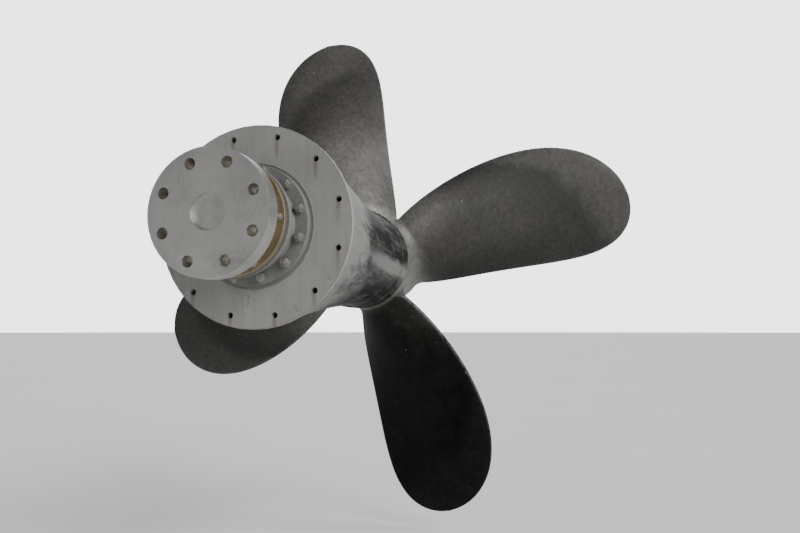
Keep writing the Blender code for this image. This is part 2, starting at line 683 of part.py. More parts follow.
def main():
    clear_scene()
    build = Builder()
    frame_plate(build)
    boss_casting(build)
    tube_seat(build)
    bossing_plates(build)
    stern_tube(build)
    bushes(build)
    stuffing_box(build)
    rope_guards(build)
    tail_shaft(build)
    shaft_liner(build)
    shaft_key(build)
    propeller(build)
    propeller_nut(build)
    fairwater_cone(build)


main()
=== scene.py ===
"""Looks of a ship propeller on its tail shaft, in the aft end of a stern boss.

X runs aft along the shaft, Y to starboard and Z up, in metres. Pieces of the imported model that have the
right shape keep it, and get soft edges and a finish. The wheel and its cone are made again with a finer
surface, and the welds, nuts and screws are added.
"""
import json
import math

import bmesh
import bpy
from bpy.props import FloatProperty, FloatVectorProperty, IntProperty, PointerProperty
from mathutils import Matrix, Vector, noise


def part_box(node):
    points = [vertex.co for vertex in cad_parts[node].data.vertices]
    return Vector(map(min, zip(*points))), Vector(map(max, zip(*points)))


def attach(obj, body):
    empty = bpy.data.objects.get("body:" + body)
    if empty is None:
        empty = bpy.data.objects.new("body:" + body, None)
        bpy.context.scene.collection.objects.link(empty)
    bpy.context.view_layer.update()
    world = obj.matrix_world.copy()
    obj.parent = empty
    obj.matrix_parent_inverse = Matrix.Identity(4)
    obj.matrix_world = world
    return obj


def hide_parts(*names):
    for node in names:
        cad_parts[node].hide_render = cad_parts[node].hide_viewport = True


bl_info = {
    "name": "Ship propeller looks",
    "version": (1, 0, 0),
    "blender": (4, 5, 0),
    "location": "3D View > Sidebar > Ship propeller",
    "description": "Finishes, fine castings, welds and fixings of a ship propeller in its stern boss",
    "category": "Object",
}

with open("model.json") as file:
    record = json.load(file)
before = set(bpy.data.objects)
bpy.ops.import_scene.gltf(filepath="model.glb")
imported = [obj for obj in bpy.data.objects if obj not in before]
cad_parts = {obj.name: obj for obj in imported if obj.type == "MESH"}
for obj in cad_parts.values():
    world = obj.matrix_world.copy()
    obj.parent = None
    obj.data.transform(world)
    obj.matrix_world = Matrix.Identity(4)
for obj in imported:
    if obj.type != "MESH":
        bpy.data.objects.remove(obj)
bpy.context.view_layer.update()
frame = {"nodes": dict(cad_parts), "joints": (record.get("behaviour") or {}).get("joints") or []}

PLATE_LOW, PLATE_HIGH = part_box("frame_plate")
SHELL_LOW, SHELL_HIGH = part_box("bossing_plate_upper_port")
BOSS_LOW, BOSS_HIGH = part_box("boss_casting")
GUARD_LOW, GUARD_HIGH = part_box("rope_guard_port")
SEAL_LOW, SEAL_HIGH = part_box("seal_ring")
KEY_LOW, KEY_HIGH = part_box("shaft_key")
CONE_LOW, CONE_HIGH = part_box("fairwater_cone")
TUBE_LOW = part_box("stern_tube")[0]
SEAT_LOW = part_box("tube_seat")[0]
NUT_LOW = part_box("propeller_nut")[0]

# All round pieces are centred on the shaft, at y 0, so their boxes give their radii
SHAFT_Z = frame["joints"][0]["pos_m"][2]
AFT = Vector((1.0, 0.0, 0.0))
SHELL_RADIUS = -SHELL_LOW.y
BOSS_RADIUS = -BOSS_LOW.y
GUARD_RADIUS = -GUARD_LOW.y
SEAT_RADIUS = -SEAT_LOW.y
TUBE_FLANGE_RADIUS = -TUBE_LOW.y
SEAL_RADIUS = (SEAL_HIGH.y - SEAL_LOW.y) / 2
CONE_RADIUS = (CONE_HIGH.y - CONE_LOW.y) / 2
CONE_REACH = CONE_HIGH.x - CONE_LOW.x

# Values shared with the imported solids, which their boxes do not give
GAP = 0.0003
RUNNING_CLEARANCE = 0.015
PLATE_HOLES = 12
PLATE_HOLE_CIRCLE = PLATE_HIGH.y - 0.060
SHELL_EASE = 1.35
BOX_BARREL_RADIUS = 0.262


# Sizes and colours that a user would change

class WheelSizes(bpy.types.PropertyGroup):
    blade_count: IntProperty(name="Blades", description="Blades on the wheel", default=4, min=2)
    tip_radius: FloatProperty(name="Tip radius", description="Shaft axis to the blade tips",
                              default=2.1985, unit="LENGTH")
    pitch: FloatProperty(name="Pitch", description="Advance in one turn", default=2.400, unit="LENGTH")
    rake: FloatProperty(name="Rake", description="Lean of the blades aft", default=math.radians(14.8),
                        unit="ROTATION")
    rest_turn: FloatProperty(name="Rest turn", description="First blade above the horizontal",
                             default=math.radians(18.9), unit="ROTATION")
    blade_setback: FloatProperty(name="Blade setback", description="Hub shoulder to the generator line",
                                 default=0.185, unit="LENGTH")
    root_thickness: FloatProperty(name="Root thickness", description="Blade thickness at the hub",
                                  default=0.172, unit="LENGTH")
    tip_thickness: FloatProperty(name="Tip thickness", description="Blade thickness at the tip",
                                 default=0.020, unit="LENGTH")
    edge_thickness: FloatProperty(name="Edge thickness", description="Rounded edges of the blades",
                                  default=0.010, unit="LENGTH")
    root_fillet: FloatProperty(name="Root fillet", description="Fillet between blade and hub",
                               default=0.075, unit="LENGTH")
    hub_radius: FloatProperty(name="Hub radius", description="Hub at its fullest", default=0.382,
                              unit="LENGTH")
    ripple: FloatProperty(name="Ripple", description="Hand-ground waviness of the casting",
                          default=0.0008, unit="LENGTH")


class FixingSizes(bpy.types.PropertyGroup):
    weld_width: FloatProperty(name="Weld width", description="Width of a seam weld", default=0.016,
                              unit="LENGTH")
    fillet_width: FloatProperty(name="Fillet weld width", description="Width of a corner weld",
                                default=0.024, unit="LENGTH")
    flange_nuts: IntProperty(name="Flange nuts", description="Nuts on the stern tube flange", default=12)
    nut_width: FloatProperty(name="Nut width", description="Flange nuts across the flats", default=0.044,
                             unit="LENGTH")
    guard_screws: IntProperty(name="Guard screws", description="Screws in each half of the rope guard",
                              default=6)
    cone_bolts: IntProperty(name="Cone bolts", description="Bolts that hold the fairwater cone", default=8)


class Finishes(bpy.types.PropertyGroup):
    bronze: FloatVectorProperty(name="Bronze", description="Dull weathered bronze of the wheel",
                                subtype="COLOR", default=(0.050, 0.048, 0.0445))
    # Lighter bronze for worn edges and for the painted highlights on the wheel
    bronze_worn: FloatVectorProperty(name="Worn bronze", description="Bronze where it is scoured lighter",
                                     subtype="COLOR", default=(0.150, 0.145, 0.133))
    bloom: FloatVectorProperty(name="Bloom", description="Dried salt and scale", subtype="COLOR",
                               default=(0.62, 0.61, 0.58))
    shell_paint: FloatVectorProperty(name="Shell paint", description="Pale paint of the bossing plates",
                                     subtype="COLOR", default=(0.212, 0.212, 0.206))
    boss_paint: FloatVectorProperty(name="Boss paint", description="Dark weathered patches round the boss",
                                    subtype="COLOR", default=(0.0085, 0.0085, 0.0081))
    primer: FloatVectorProperty(name="Primer", description="Grey primer of the frame plate",
                                subtype="COLOR", default=(0.27, 0.27, 0.262))
    steel: FloatVectorProperty(name="Steel", description="Machined steel", subtype="COLOR",
                               default=(0.52, 0.515, 0.50))
    new_bronze: FloatVectorProperty(name="Machined bronze", description="Liner, gland and retainer",
                                    subtype="COLOR", default=(0.42, 0.34, 0.22))
    rust: FloatVectorProperty(name="Rust", description="Rust on worn edges", subtype="COLOR",
                              default=(0.125, 0.075, 0.048))
    wood: FloatVectorProperty(name="Bush wood", description="Oily hardwood staves", subtype="COLOR",
                              default=(0.085, 0.058, 0.036))


class StageValues(bpy.types.PropertyGroup):
    floor_colour: FloatVectorProperty(name="Floor", description="Pale floor", subtype="COLOR",
                                      default=(0.82, 0.82, 0.81))
    floor_clearance: FloatProperty(name="Floor clearance", description="Blade tips to the floor",
                                   default=0.10, unit="LENGTH")
    sky: FloatProperty(name="Sky strength", description="Even light from all round", default=0.22)
    backdrop: FloatProperty(name="Backdrop brightness", description="Backdrop as the camera sees it",
                            default=3.5)
    key_strength: FloatProperty(name="Key strength", description="Wide soft light", default=4.3)
    key_from: FloatVectorProperty(name="Key from", description="Direction that the soft light comes from",
                                  subtype="DIRECTION", default=(-0.30, -0.82, 0.48))
    fill_strength: FloatProperty(name="Fill strength", description="Weaker soft light from aft", default=1.3)
    fill_from: FloatVectorProperty(name="Fill from", description="Direction that the fill light comes from",
                                   subtype="DIRECTION", default=(0.80, 0.30, 0.52))
    light_spread: FloatProperty(name="Light spread", description="Apparent width of the soft lights",
                                default=math.radians(50), unit="ROTATION")
    camera_place: FloatVectorProperty(name="Camera place", description="Where the photograph was taken from",
                                      subtype="TRANSLATION", default=(-3.6751, -1.7235, -0.9959))
    camera_heading: FloatProperty(name="Camera heading", description="Turn to starboard of straight aft",
                                  default=0.2415, unit="ROTATION")
    camera_climb: FloatProperty(name="Camera climb", description="Upward tilt", default=0.0843,
                                unit="ROTATION")
    camera_lens: FloatProperty(name="Camera lens", description="Focal length on a 36 mm frame, in mm",
                               default=33.28)


# Shader expressions

class Wire:
    """One output socket of a node. Arithmetic on wires and numbers adds Math nodes."""

    def __init__(self, owner, socket):
        self.owner = owner
        self.socket = socket

    def math(self, operation, *values):
        return self.owner.node("ShaderNodeMath", {"operation": operation}, dict(enumerate(values)))

    def __add__(self, other):
        return self.math("ADD", self, other)

    def __radd__(self, other):
        return self.math("ADD", other, self)

    def __sub__(self, other):
        return self.math("SUBTRACT", self, other)

    def __rsub__(self, other):
        return self.math("SUBTRACT", other, self)

    def __mul__(self, other):
        return self.math("MULTIPLY", self, other)

    def __rmul__(self, other):
        return self.math("MULTIPLY", other, self)

    def __truediv__(self, other):
        return self.math("DIVIDE", self, other)

    def __rtruediv__(self, other):
        return self.math("DIVIDE", other, self)

    def __pow__(self, other):
        return self.math("POWER", self, other)

    def __rpow__(self, other):
        return self.math("POWER", other, self)

    def __gt__(self, other):
        return self.math("GREATER_THAN", self, other)

    def __lt__(self, other):
        return self.math("LESS_THAN", self, other)

    def __abs__(self):
        return self.math("ABSOLUTE", self)

    def top(self, other):
        return self.math("MAXIMUM", self, other)

    def sine(self):
        return self.math("SINE", self)

    def root(self):
        return self.math("SQRT", self)

    def step(self, low, high, floor=0.0, ceiling=1.0):
        """Ease from floor to ceiling as this wire goes from low to high."""
        settings = {"interpolation_type": "SMOOTHSTEP", "clamp": True}
        if low > high:
            low, high, floor, ceiling = high, low, ceiling, floor
        sockets = {0: self, 1: low, 2: high, 3: floor, 4: ceiling}
        return self.owner.node("ShaderNodeMapRange", settings, sockets)


class NodeTree:
    """The nodes of a material, of the sky or of a modifier."""

    def __init__(self, tree):
        self.tree = tree

    def node(self, kind, settings=None, sockets=None, output=0):
        """Add a node: its settings first, then the values or wires of its sockets."""
        item = self.tree.nodes.new(kind)
        for name, value in (settings or {}).items():
            setattr(item, name, value)
        for name, value in (sockets or {}).items():
            self.feed(item.inputs[name], value)
        return Wire(self, item.outputs[output]) if item.outputs else None

    def feed(self, socket, value):
        if isinstance(value, Wire):
            self.tree.links.new(value.socket, socket)
        else:
            socket.default_value = value


class Recipe(NodeTree):
    """One material, whose pattern is written as Python expressions."""

    def __init__(self, name, specular):
        self.material = bpy.data.materials.new(name)
        self.material.use_nodes = True
        super().__init__(self.material.node_tree)
        self.shader = self.tree.nodes["Principled BSDF"]
        self.shader.inputs["Specular IOR Level"].default_value = specular
        self.place = self.node("ShaderNodeTexCoord", output="Object")

    def noise(self, scale, detail=3.0, roughness=0.55, place=None, distortion=0.0):
        sockets = {"Vector": place or self.place, "Scale": scale, "Detail": detail,
                   "Roughness": roughness, "Distortion": distortion}
        return self.node("ShaderNodeTexNoise", {"noise_dimensions": "3D"}, sockets)

    def stretched(self, x, y, z):
        """Coordinates scaled along each axis, for streaks."""
        sockets = {0: self.place, 1: (x, y, z)}
        return self.node("ShaderNodeVectorMath", {"operation": "MULTIPLY"}, sockets)

    def specks(self, scale, size, share):
        """Small round spots: scale cells a metre, spots of size metres, in a share of the cells."""
        sockets = {"Vector": self.place, "Scale": scale, "Randomness": 1.0}
        distance = self.node("ShaderNodeTexVoronoi", {"feature": "F1"}, sockets, "Distance")
        colour = self.node("ShaderNodeTexVoronoi", {"feature": "F1"}, sockets, "Color")
        pick = self.node("ShaderNodeSeparateColor", None, {0: colour}, "Red")
        return (pick < share) * distance.step(size * scale, size * scale * 0.4)

    def axis(self, letter):
        return self.node("ShaderNodeSeparateXYZ", None, {0: self.place}, letter)

    def attribute(self, name):
        return self.node("ShaderNodeAttribute", {"attribute_name": name}, output="Fac")

    def mix(self, factor, under, over, blend="MIX"):
        """Blend two colours, each a wire or a colour triple."""
        sockets = {0: factor}
        for index, colour in ((6, under), (7, over)):
            sockets[index] = colour if isinstance(colour, Wire) else (*colour, 1.0)
        return self.node("ShaderNodeMix", {"data_type": "RGBA", "blend_type": blend}, sockets, 2)

    def shade(self, colour, amount):
        """Multiply a colour by a number that varies over the surface."""
        grey = self.node("ShaderNodeCombineColor", None, {0: amount, 1: amount, 2: amount})
        return self.mix(1.0, colour, grey, "MULTIPLY")

    def up(self):
        """Metres above the shaft."""
        return self.axis("Z") - SHAFT_Z

    def turn(self, up, out):
        """The angle about the shaft, in radians, from the way that out points."""
        return self.node("ShaderNodeMath", {"operation": "ARCTAN2"}, {0: up, 1: out})

    def corners(self, width):
        """1 on convex and concave corners narrower than width, 0 on flat metal."""
        soft = self.node("ShaderNodeBevel", {"samples": 4}, {"Radius": width})
        true = self.node("ShaderNodeNewGeometry", output="Normal")
        same = self.node("ShaderNodeVectorMath", {"operation": "DOT_PRODUCT"}, {0: soft, 1: true}, "Value")
        return (1.0 - same).step(0.01, 0.12)

    def finish(self, colour, roughness, metallic=0.0, height=None, depth=0.001):
        """Feed the shader; depth is the height in metres of a bump of 1."""
        self.feed(self.shader.inputs["Base Color"], colour)
        self.feed(self.shader.inputs["Roughness"], roughness)
        self.feed(self.shader.inputs["Metallic"], metallic)
        if height is not None:
            sockets = {"Strength": 1.0, "Distance": depth, "Height": height}
            self.feed(self.shader.inputs["Normal"], self.node("ShaderNodeBump", None, sockets))
        return self.material


def tinted(colour, amount):
    """A lighter or darker colour of the same hue."""
    return tuple(channel * amount for channel in colour)


# Finishes: pitches of tool marks, threads and plaits along the shaft, and the staves round it

TOOL_PITCH = 0.0012
THREAD_PITCH = 0.0045
PLAIT_PITCH = 0.016
STAVES = 24


def wheel_bronze(tones):
    """Dark matt casting: broad stains, fine grain, small pale specks, painted highlights on the fillets and
    outer blades, a painted shadow and painted shade.
    """
    recipe = Recipe("wheel_bronze", specular=0.30)
    span = recipe.attribute("span")
    across = recipe.attribute("across")
    broad = recipe.noise(1.6, 3.0, 0.5)
    middle = recipe.noise(7.0, 5.0, 0.6, distortion=0.4)
    mottle = recipe.noise(26.0, 4.0, 0.65)
    grain = recipe.noise(110.0, 4.0, 0.7)
    fine = recipe.noise(420.0, 2.0, 0.6)
    # Painted shade above 0 and painted highlight below 0, carried by the mesh
    painted_shade_and_highlight = recipe.attribute("painted_shade_and_highlight")
    # Painted shadow: a line across each blade stands for the edge of a cast shadow, with a dark band just
    # inside it and a painted lit zone on the outer blade beyond it
    shadow_line = 0.775 - across * 0.10 - (across.top(0.0) ** 3.0) * 0.22
    beyond = span - shadow_line + (broad - 0.5) * 0.08 + (middle - 0.5) * 0.05
    outer = beyond.step(-0.06, 0.07)
    shade = beyond.step(-0.34, -0.04) * (1.0 - outer)
    # Painted shade on the trailing side of the blade roots
    trailing = across.step(-0.10, -0.85) * span.step(0.04, 0.14) * span.step(0.85, 0.45)
    # Painted highlight on the root fillets and the hub, left off where the painted shade lies
    highlit = (span + (middle - 0.5) * 0.04).step(0.080, 0.0) * (1.0 - painted_shade_and_highlight.top(0.0))
    # Painted highlight on the leading side of the blade roots
    upper_root_highlight = across.step(0.0, 0.9) * span.step(0.36, 0.10)
    drawn = recipe.node("ShaderNodeCombineXYZ", None, {0: span * 190.0, 1: across * 5.0})
    flow = recipe.noise(1.0, 4.0, 0.65, drawn)
    # Lighter bronze from the painted highlights: root fillets, leading roots and a little on the lit outer
    # blades
    worn = (highlit * 0.90).top(upper_root_highlight * 0.74).top(outer * 0.08)
    colour = recipe.mix(worn, tones.bronze, tones.bronze_worn)
    tone = (0.84 + broad * 0.26) * (0.76 + middle * 0.44) * (0.38 + mottle * 1.24) * (0.44 + grain * 1.12)
    tone = tone * (0.86 + flow * 0.28)
    # Random tone, then the painted shadow band and the painted shade on the trailing roots
    colour = recipe.shade(colour, tone * (1.0 - shade * 0.38) * (1.0 - trailing * 0.34))
    # Painted shade on the lower blade and under the hub, and a painted highlight on the upper blade
    colour = recipe.shade(colour, 1.0 - painted_shade_and_highlight * (0.58 + middle * 0.46))
    # Lighter edges of the blades: worn edges, with a painted highlight along them
    worn_and_lit_edge = abs(across).step(0.972, 0.998) * (middle + (mottle - 0.5) * 0.8).step(0.30, 0.55)
    colour = recipe.mix(worn_and_lit_edge * 0.45, colour, tones.bronze_worn)
    bloom = (recipe.noise(17.0, 7.0, 0.72) + (middle - 0.5) * 0.7).step(0.70, 0.98)
    colour = recipe.mix(bloom * 0.08, colour, tones.bloom)
    specks = recipe.specks(9.0, 0.0055, 0.30).top(recipe.specks(23.0, 0.0024, 0.35))
    colour = recipe.mix(specks * 0.55, colour, tones.bloom)
    roughness = 0.60 + (grain - 0.5) * 0.20 - worn * 0.10 + bloom * 0.12 + specks * 0.2 + (flow - 0.5) * 0.16
    # More metallic where the painted shade lies, which darkens it further
    metallic = 0.35 - bloom * 0.3 - specks * 0.3 + painted_shade_and_highlight.top(0.0) * 0.5
    height = grain * 0.5 + fine * 0.25 + mottle * 0.7 + middle * 0.9 + specks * 0.8 + flow * 0.2
    return recipe.finish(colour, roughness, metallic, height, 0.0012)


def stern_colour(recipe, tones):
    """Pale shell paint that turns dark and blotched towards the boss, with a paler patch a little below the
    shaft on the port side.
    """
    x = recipe.axis("X")
    up = recipe.up()
    turn = recipe.turn(up, 0.0 - recipe.axis("Y"))
    broad = recipe.noise(2.1, 4.0, 0.6)
    blotch = recipe.noise(9.0, 6.0, 0.62, recipe.stretched(0.22, 1.0, 1.0), 0.4)
    grain = recipe.noise(70.0, 4.0, 0.65, recipe.stretched(0.5, 1.0, 1.0))
    streaks = recipe.noise(5.0, 4.0, 0.6, recipe.stretched(1.6, 1.6, 0.22))
    flecks = recipe.noise(24.0, 6.0, 0.68, recipe.stretched(0.22, 1.0, 1.0))
    clouds = recipe.noise(16.0, 5.0, 0.6, recipe.stretched(0.20, 1.0, 1.0), 0.3)
    ragged = (broad - 0.5) * 0.7 + (blotch - 0.5) * 0.8 + (flecks - 0.5) * 0.5 + (clouds - 0.5) * 0.6
    dark = (x - turn.top(0.0) * 0.45 + ragged * 1.5).step(0.25, 0.95)
    low = (turn + 0.235 + (x - 1.2) * 0.09) / 0.135
    along = (x - 1.45) / 0.75
    patch = ((low * low + along * along).root() + ragged * 2.0).step(1.45, 0.55)
    dark = dark * (1.0 - patch * 0.75)
    colour = recipe.mix(dark, tones.shell_paint, tones.boss_paint)
    mottle = (clouds * 0.6 + flecks * 0.5).step(0.50, 0.72)
    colour = recipe.mix(mottle * dark * 0.33, colour, tones.shell_paint)
    colour = recipe.shade(colour, (0.74 + broad * 0.36) * (0.78 + grain * 0.40) * (0.86 + streaks * 0.26))
    return colour, dark, blotch, grain, broad


def stern_paint(tones):
    """Weathered paint of the shell plates and the boss, with chips, specks and faint plate waves."""
    recipe = Recipe("stern_paint", specular=0.22)
    colour, dark, blotch, grain, broad = stern_colour(recipe, tones)
    flakes = recipe.noise(31.0, 5.0, 0.6, recipe.stretched(0.4, 1.0, 1.0))
    chips = (flakes + (blotch - 0.5) * 0.8).step(0.77, 0.84)
    colour = recipe.mix(chips * 0.35, colour, tones.rust)
    edge = recipe.corners(0.010)
    colour = recipe.mix(edge * grain.step(0.35, 0.65) * 0.5, colour, tones.rust)
    specks = recipe.specks(8.0, 0.0060, 0.30).top(recipe.specks(19.0, 0.003, 0.3))
    colour = recipe.mix(specks * 0.7, colour, tones.bloom)
    roughness = 0.62 + (grain - 0.5) * 0.2 + chips * 0.2 - dark * 0.06
    height = grain * 0.5 + blotch * 0.9 + broad * 2.5 - chips * 0.5 + specks * 0.6
    return recipe.finish(colour, roughness, height=height, depth=0.0012)


def plate_primer(tones):
    """Grey primer, scuffed, rusting from its edges, with runs of rust below the bolt holes."""
    recipe = Recipe("plate_primer", specular=0.4)
    side = recipe.axis("Y")
    up = recipe.up()
    broad = recipe.noise(3.2, 4.0, 0.6)
    blotch = recipe.noise(14.0, 6.0, 0.65, distortion=0.6)
    grain = recipe.noise(120.0, 3.0, 0.6)
    runs = recipe.noise(16.0, 4.0, 0.6, recipe.stretched(1.5, 1.5, 0.10))
    edge = recipe.corners(0.012)
    rust = (edge * 0.55 + (blotch - 0.5) * 1.2 + (runs - 0.5) * 0.8).step(0.16, 0.40)
    wander = (runs - 0.5) * 0.020
    for y, z in hole_places():
        width = abs(side - y + wander).step(0.017, 0.004)
        below = z - up
        fading = (below + (blotch - 0.5) * 0.16).step(0.15, 0.02)
        rust = rust.top(width * below.step(0.0, 0.014) * fading * 0.8)
    primer = recipe.shade(tones.primer, (0.70 + broad * 0.50) * (0.82 + grain * 0.34) * (0.78 + runs * 0.42))
    colour = recipe.mix(rust * 0.70, primer, recipe.shade(tones.rust, 0.7 + grain * 0.7))
    strokes = recipe.noise(26.0, 6.0, 0.7, recipe.stretched(1.0, 0.35, 1.0))
    scuffs = (strokes + (broad - 0.5) * 0.5).step(0.66, 0.80)
    colour = recipe.mix(scuffs * 0.30, colour, tones.bloom)
    roughness = 0.55 + rust * 0.28 + (grain - 0.5) * 0.15
    height = grain * 0.4 + blotch * 0.5 + rust * 0.6
    return recipe.finish(colour, roughness, height=height)


def hole_places():
    """Bolt holes of the frame plate, as distances to starboard of the shaft axis and above it."""
    turns = [2 * math.pi * (i + 0.5) / PLATE_HOLES for i in range(PLATE_HOLES)]
    return [(PLATE_HOLE_CIRCLE * math.cos(a), PLATE_HOLE_CIRCLE * math.sin(a)) for a in turns]


def cast_paint(tones):
    """Rough cast steel under worn dark grey paint."""
    recipe = Recipe("cast_paint", specular=0.4)
    skin = recipe.noise(55.0, 5.0, 0.7)
    blotch = recipe.noise(9.0, 6.0, 0.65, distortion=0.5)
    fine = recipe.noise(260.0, 2.0, 0.6)
    edge = recipe.corners(0.008)
    worn = (edge * 0.8 + (blotch - 0.5) * 0.9).step(0.20, 0.55)
    colour = recipe.mix(worn * 0.7, tinted(tones.primer, 0.62), tones.rust)
    colour = recipe.shade(colour, (0.70 + skin * 0.5) * (0.8 + blotch * 0.35))
    roughness = 0.55 + worn * 0.25 + (skin - 0.5) * 0.2
    return recipe.finish(colour, roughness, height=skin * 0.9 + fine * 0.3, depth=0.0016)


def turned_metal(name, metal, tarnish, blemish):
    """Machined metal with fine turning rings along the shaft and round its faces."""
    recipe = Recipe(name, specular=0.5)
    up = recipe.up()
    side = recipe.axis("Y")
    radius = (up * up + side * side).root()
    rings = ((recipe.axis("X") + radius) * (2 * math.pi / TOOL_PITCH)).sine()
    wear = recipe.noise(5.0, 5.0, 0.6, distortion=0.5)
    fine = recipe.noise(60.0, 5.0, 0.7)
    stain = (wear * 0.9 + (fine - 0.5) * 0.5).step(0.42, 0.74)
    colour = recipe.mix(stain * 0.65, metal, tarnish)
    spots = (recipe.noise(34.0, 6.0, 0.7) + (wear - 0.5) * 0.6).step(0.68, 0.80)
    colour = recipe.mix(spots * 0.6, colour, blemish)
    cuts = recipe.node("ShaderNodeCombineXYZ", None, {0: radius, 1: recipe.axis("X")})
    bands = recipe.noise(36.0, 3.0, 0.7, cuts)
    colour = recipe.shade(colour, (0.85 + fine * 0.25) * (0.80 + bands * 0.40))
    roughness = 0.30 + stain * 0.22 + spots * 0.25 + (fine - 0.5) * 0.15
    metallic = 0.92 - spots * 0.6 - stain * 0.15
    return recipe.finish(colour, roughness, metallic, rings * 0.12 + fine * 0.25 + spots * 0.3, 0.0005)


def turned_steel(tones):
    return turned_metal("turned_steel", tones.steel, tinted(tones.steel, 0.35), tones.rust)


def turned_bronze(tones):
    metal = tones.new_bronze
    return turned_metal("turned_bronze", metal, tinted(metal, 0.38), tinted(metal, 0.19))


def fixing_steel(tones):
    """Dull steel of studs, nuts and keepers, with fine threads read along the shaft."""
    recipe = Recipe("fixing_steel", specular=0.5)
    wear = recipe.noise(22.0, 5.0, 0.65)
    fine = recipe.noise(160.0, 3.0, 0.6)
    edge = recipe.corners(0.004)
    rust = (wear + (fine - 0.5) * 0.4 - edge * 0.2).step(0.45, 0.68)
    colour = recipe.mix(rust * 0.8, tinted(tones.steel, 0.62), tones.rust)
    colour = recipe.mix(edge * 0.5, colour, tones.steel)
    colour = recipe.shade(colour, 0.8 + fine * 0.4)
    threads = (recipe.axis("X") * (2 * math.pi / THREAD_PITCH)).sine()
    return recipe.finish(colour, 0.42 + rust * 0.3, 0.85 - rust * 0.65, fine * 0.4 + threads * 0.15, 0.0006)


def weld_metal(tones):
    """Weld beads under the same paint as the plates, with rust in the ripples."""
    recipe = Recipe("weld_metal", specular=0.40)
    colour, _, blotch, _, broad = stern_colour(recipe, tones)
    wear = recipe.noise(18.0, 5.0, 0.65)
    fine = recipe.noise(140.0, 3.0, 0.6)
    rust = (wear + (fine - 0.5) * 0.4).step(0.50, 0.68)
    colour = recipe.mix(rust * 0.55, recipe.shade(colour, 0.75 + fine * 0.6), tones.rust)
    return recipe.finish(colour, 0.55 + rust * 0.25, height=fine * 0.6 + broad * 0.1 + blotch * 0.1)


def bush_staves(tones):
    """Hardwood staves laid lengthwise round the shaft, dark with oil."""
    recipe = Recipe("bush_staves", specular=0.5)
    turn = recipe.turn(recipe.up(), recipe.axis("Y"))
    joints = abs((turn * (STAVES / 2)).sine()).step(0.10, 0.02)
    grain = recipe.noise(60.0, 5.0, 0.7, recipe.stretched(0.12, 1.0, 1.0))
    colour = recipe.shade(tones.wood, 0.6 + grain * 0.8)
    colour = recipe.mix(joints * 0.8, colour, tinted(tones.wood, 0.2))
    return recipe.finish(colour, 0.38 + grain * 0.2, height=grain * 0.5 - joints)


def soft_black(name, tones, plait):
    """Greased packing or seal rubber."""
    recipe = Recipe(name, specular=0.4)
    fine = recipe.noise(180.0, 4.0, 0.7)
    dust = recipe.noise(12.0, 4.0, 0.6).step(0.5, 0.8)
    colour = recipe.mix(dust * 0.12, tinted(tones.boss_paint, 0.55), tones.bloom)
    height = fine * 0.5
    if plait:
        height = height + (recipe.axis("X") * (2 * math.pi / PLAIT_PITCH)).sine() * 0.5
    return recipe.finish(recipe.shade(colour, 0.7 + fine * 0.6), 0.55 + dust * 0.25, height=height)


def packing_black(tones):
    return soft_black("packing_black", tones, True)


def seal_black(tones):
    return soft_black("seal_black", tones, False)


def floor_finish(stage):
    """Plain pale floor with a very faint unevenness."""
    recipe = Recipe("stage_floor", specular=0.2)
    cloud = recipe.noise(0.35, 3.0, 0.5)
    grain = recipe.noise(40.0, 3.0, 0.6)
    return recipe.finish(recipe.shade(stage.floor_colour, 0.95 + cloud * 0.06 + grain * 0.04), 0.85)


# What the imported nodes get: a finish and the width of their soft edges in metres
NODE_LOOKS = (
    (plate_primer, 0.0025, ("frame_plate",)),
    (stern_paint, 0.0020, ("bossing_plate_lower_port", "bossing_plate_lower_starboard",
                           "bossing_plate_upper_port", "bossing_plate_upper_starboard")),
    (stern_paint, 0.0030, ("boss_casting",)),
    (stern_paint, 0.0015, ("rope_guard_port", "rope_guard_starboard")),
    (cast_paint, 0.0020, ("tube_seat", "stern_tube_nut")),
    (cast_paint, 0.0030, ("stern_tube",)),
    (cast_paint, 0.0035, ("stuffing_box",)),
    (bush_staves, 0.0, ("aft_bush", "neck_bush")),
    (packing_black, 0.0, ("packing",)),
    (seal_black, 0.0, ("seal_ring",)),
    (turned_bronze, 0.0010, ("bush_retainer", "shaft_liner")),
    (turned_bronze, 0.0020, ("gland",)),
    (turned_steel, 0.0030, ("tail_shaft",)),
    (fixing_steel, 0.0010, ("shaft_key",)),
    (fixing_steel, 0.0012, tuple("gland_stud_%d" % (i + 1) for i in range(6))),
    (fixing_steel, 0.0015, ("nut_keeper_upper", "nut_keeper_lower")),
    (fixing_steel, 0.0030, ("propeller_nut",)),
)


def finish_of(maker):
    """The material of a maker above, which has the maker's name, made the first time it is asked for."""
    return bpy.data.materials.get(maker.__name__) or maker(bpy.context.scene.propeller_finishes)


# Meshes

WELD_DISTANCE = 0.00002


def soft_facets(angle):
    """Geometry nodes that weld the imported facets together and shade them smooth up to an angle."""
    group = bpy.data.node_groups.new("soft_facets", "GeometryNodeTree")
    for way in ("INPUT", "OUTPUT"):
        group.interface.new_socket("Geometry", in_out=way, socket_type="NodeSocketGeometry")
    tree = NodeTree(group)
    mesh = tree.node("NodeGroupInput")
    mesh = tree.node("GeometryNodeRemoveAttribute", None, {0: mesh, "Name": "custom_normal"})
    mesh = tree.node("GeometryNodeMergeByDistance", None, {0: mesh, "Distance": WELD_DISTANCE})
    mesh = tree.node("GeometryNodeSetShadeSmooth", {"domain": "FACE"}, {0: mesh})
    bend = tree.node("GeometryNodeInputMeshEdgeAngle", output="Unsigned Angle")
    below = {"data_type": "FLOAT", "operation": "LESS_THAN"}
    flat = tree.node("FunctionNodeCompare", below, {0: bend, 1: angle})
    mesh = tree.node("GeometryNodeSetShadeSmooth", {"domain": "EDGE"}, {0: mesh, "Shade Smooth": flat})
    tree.node("NodeGroupOutput", None, {0: mesh})
    return group


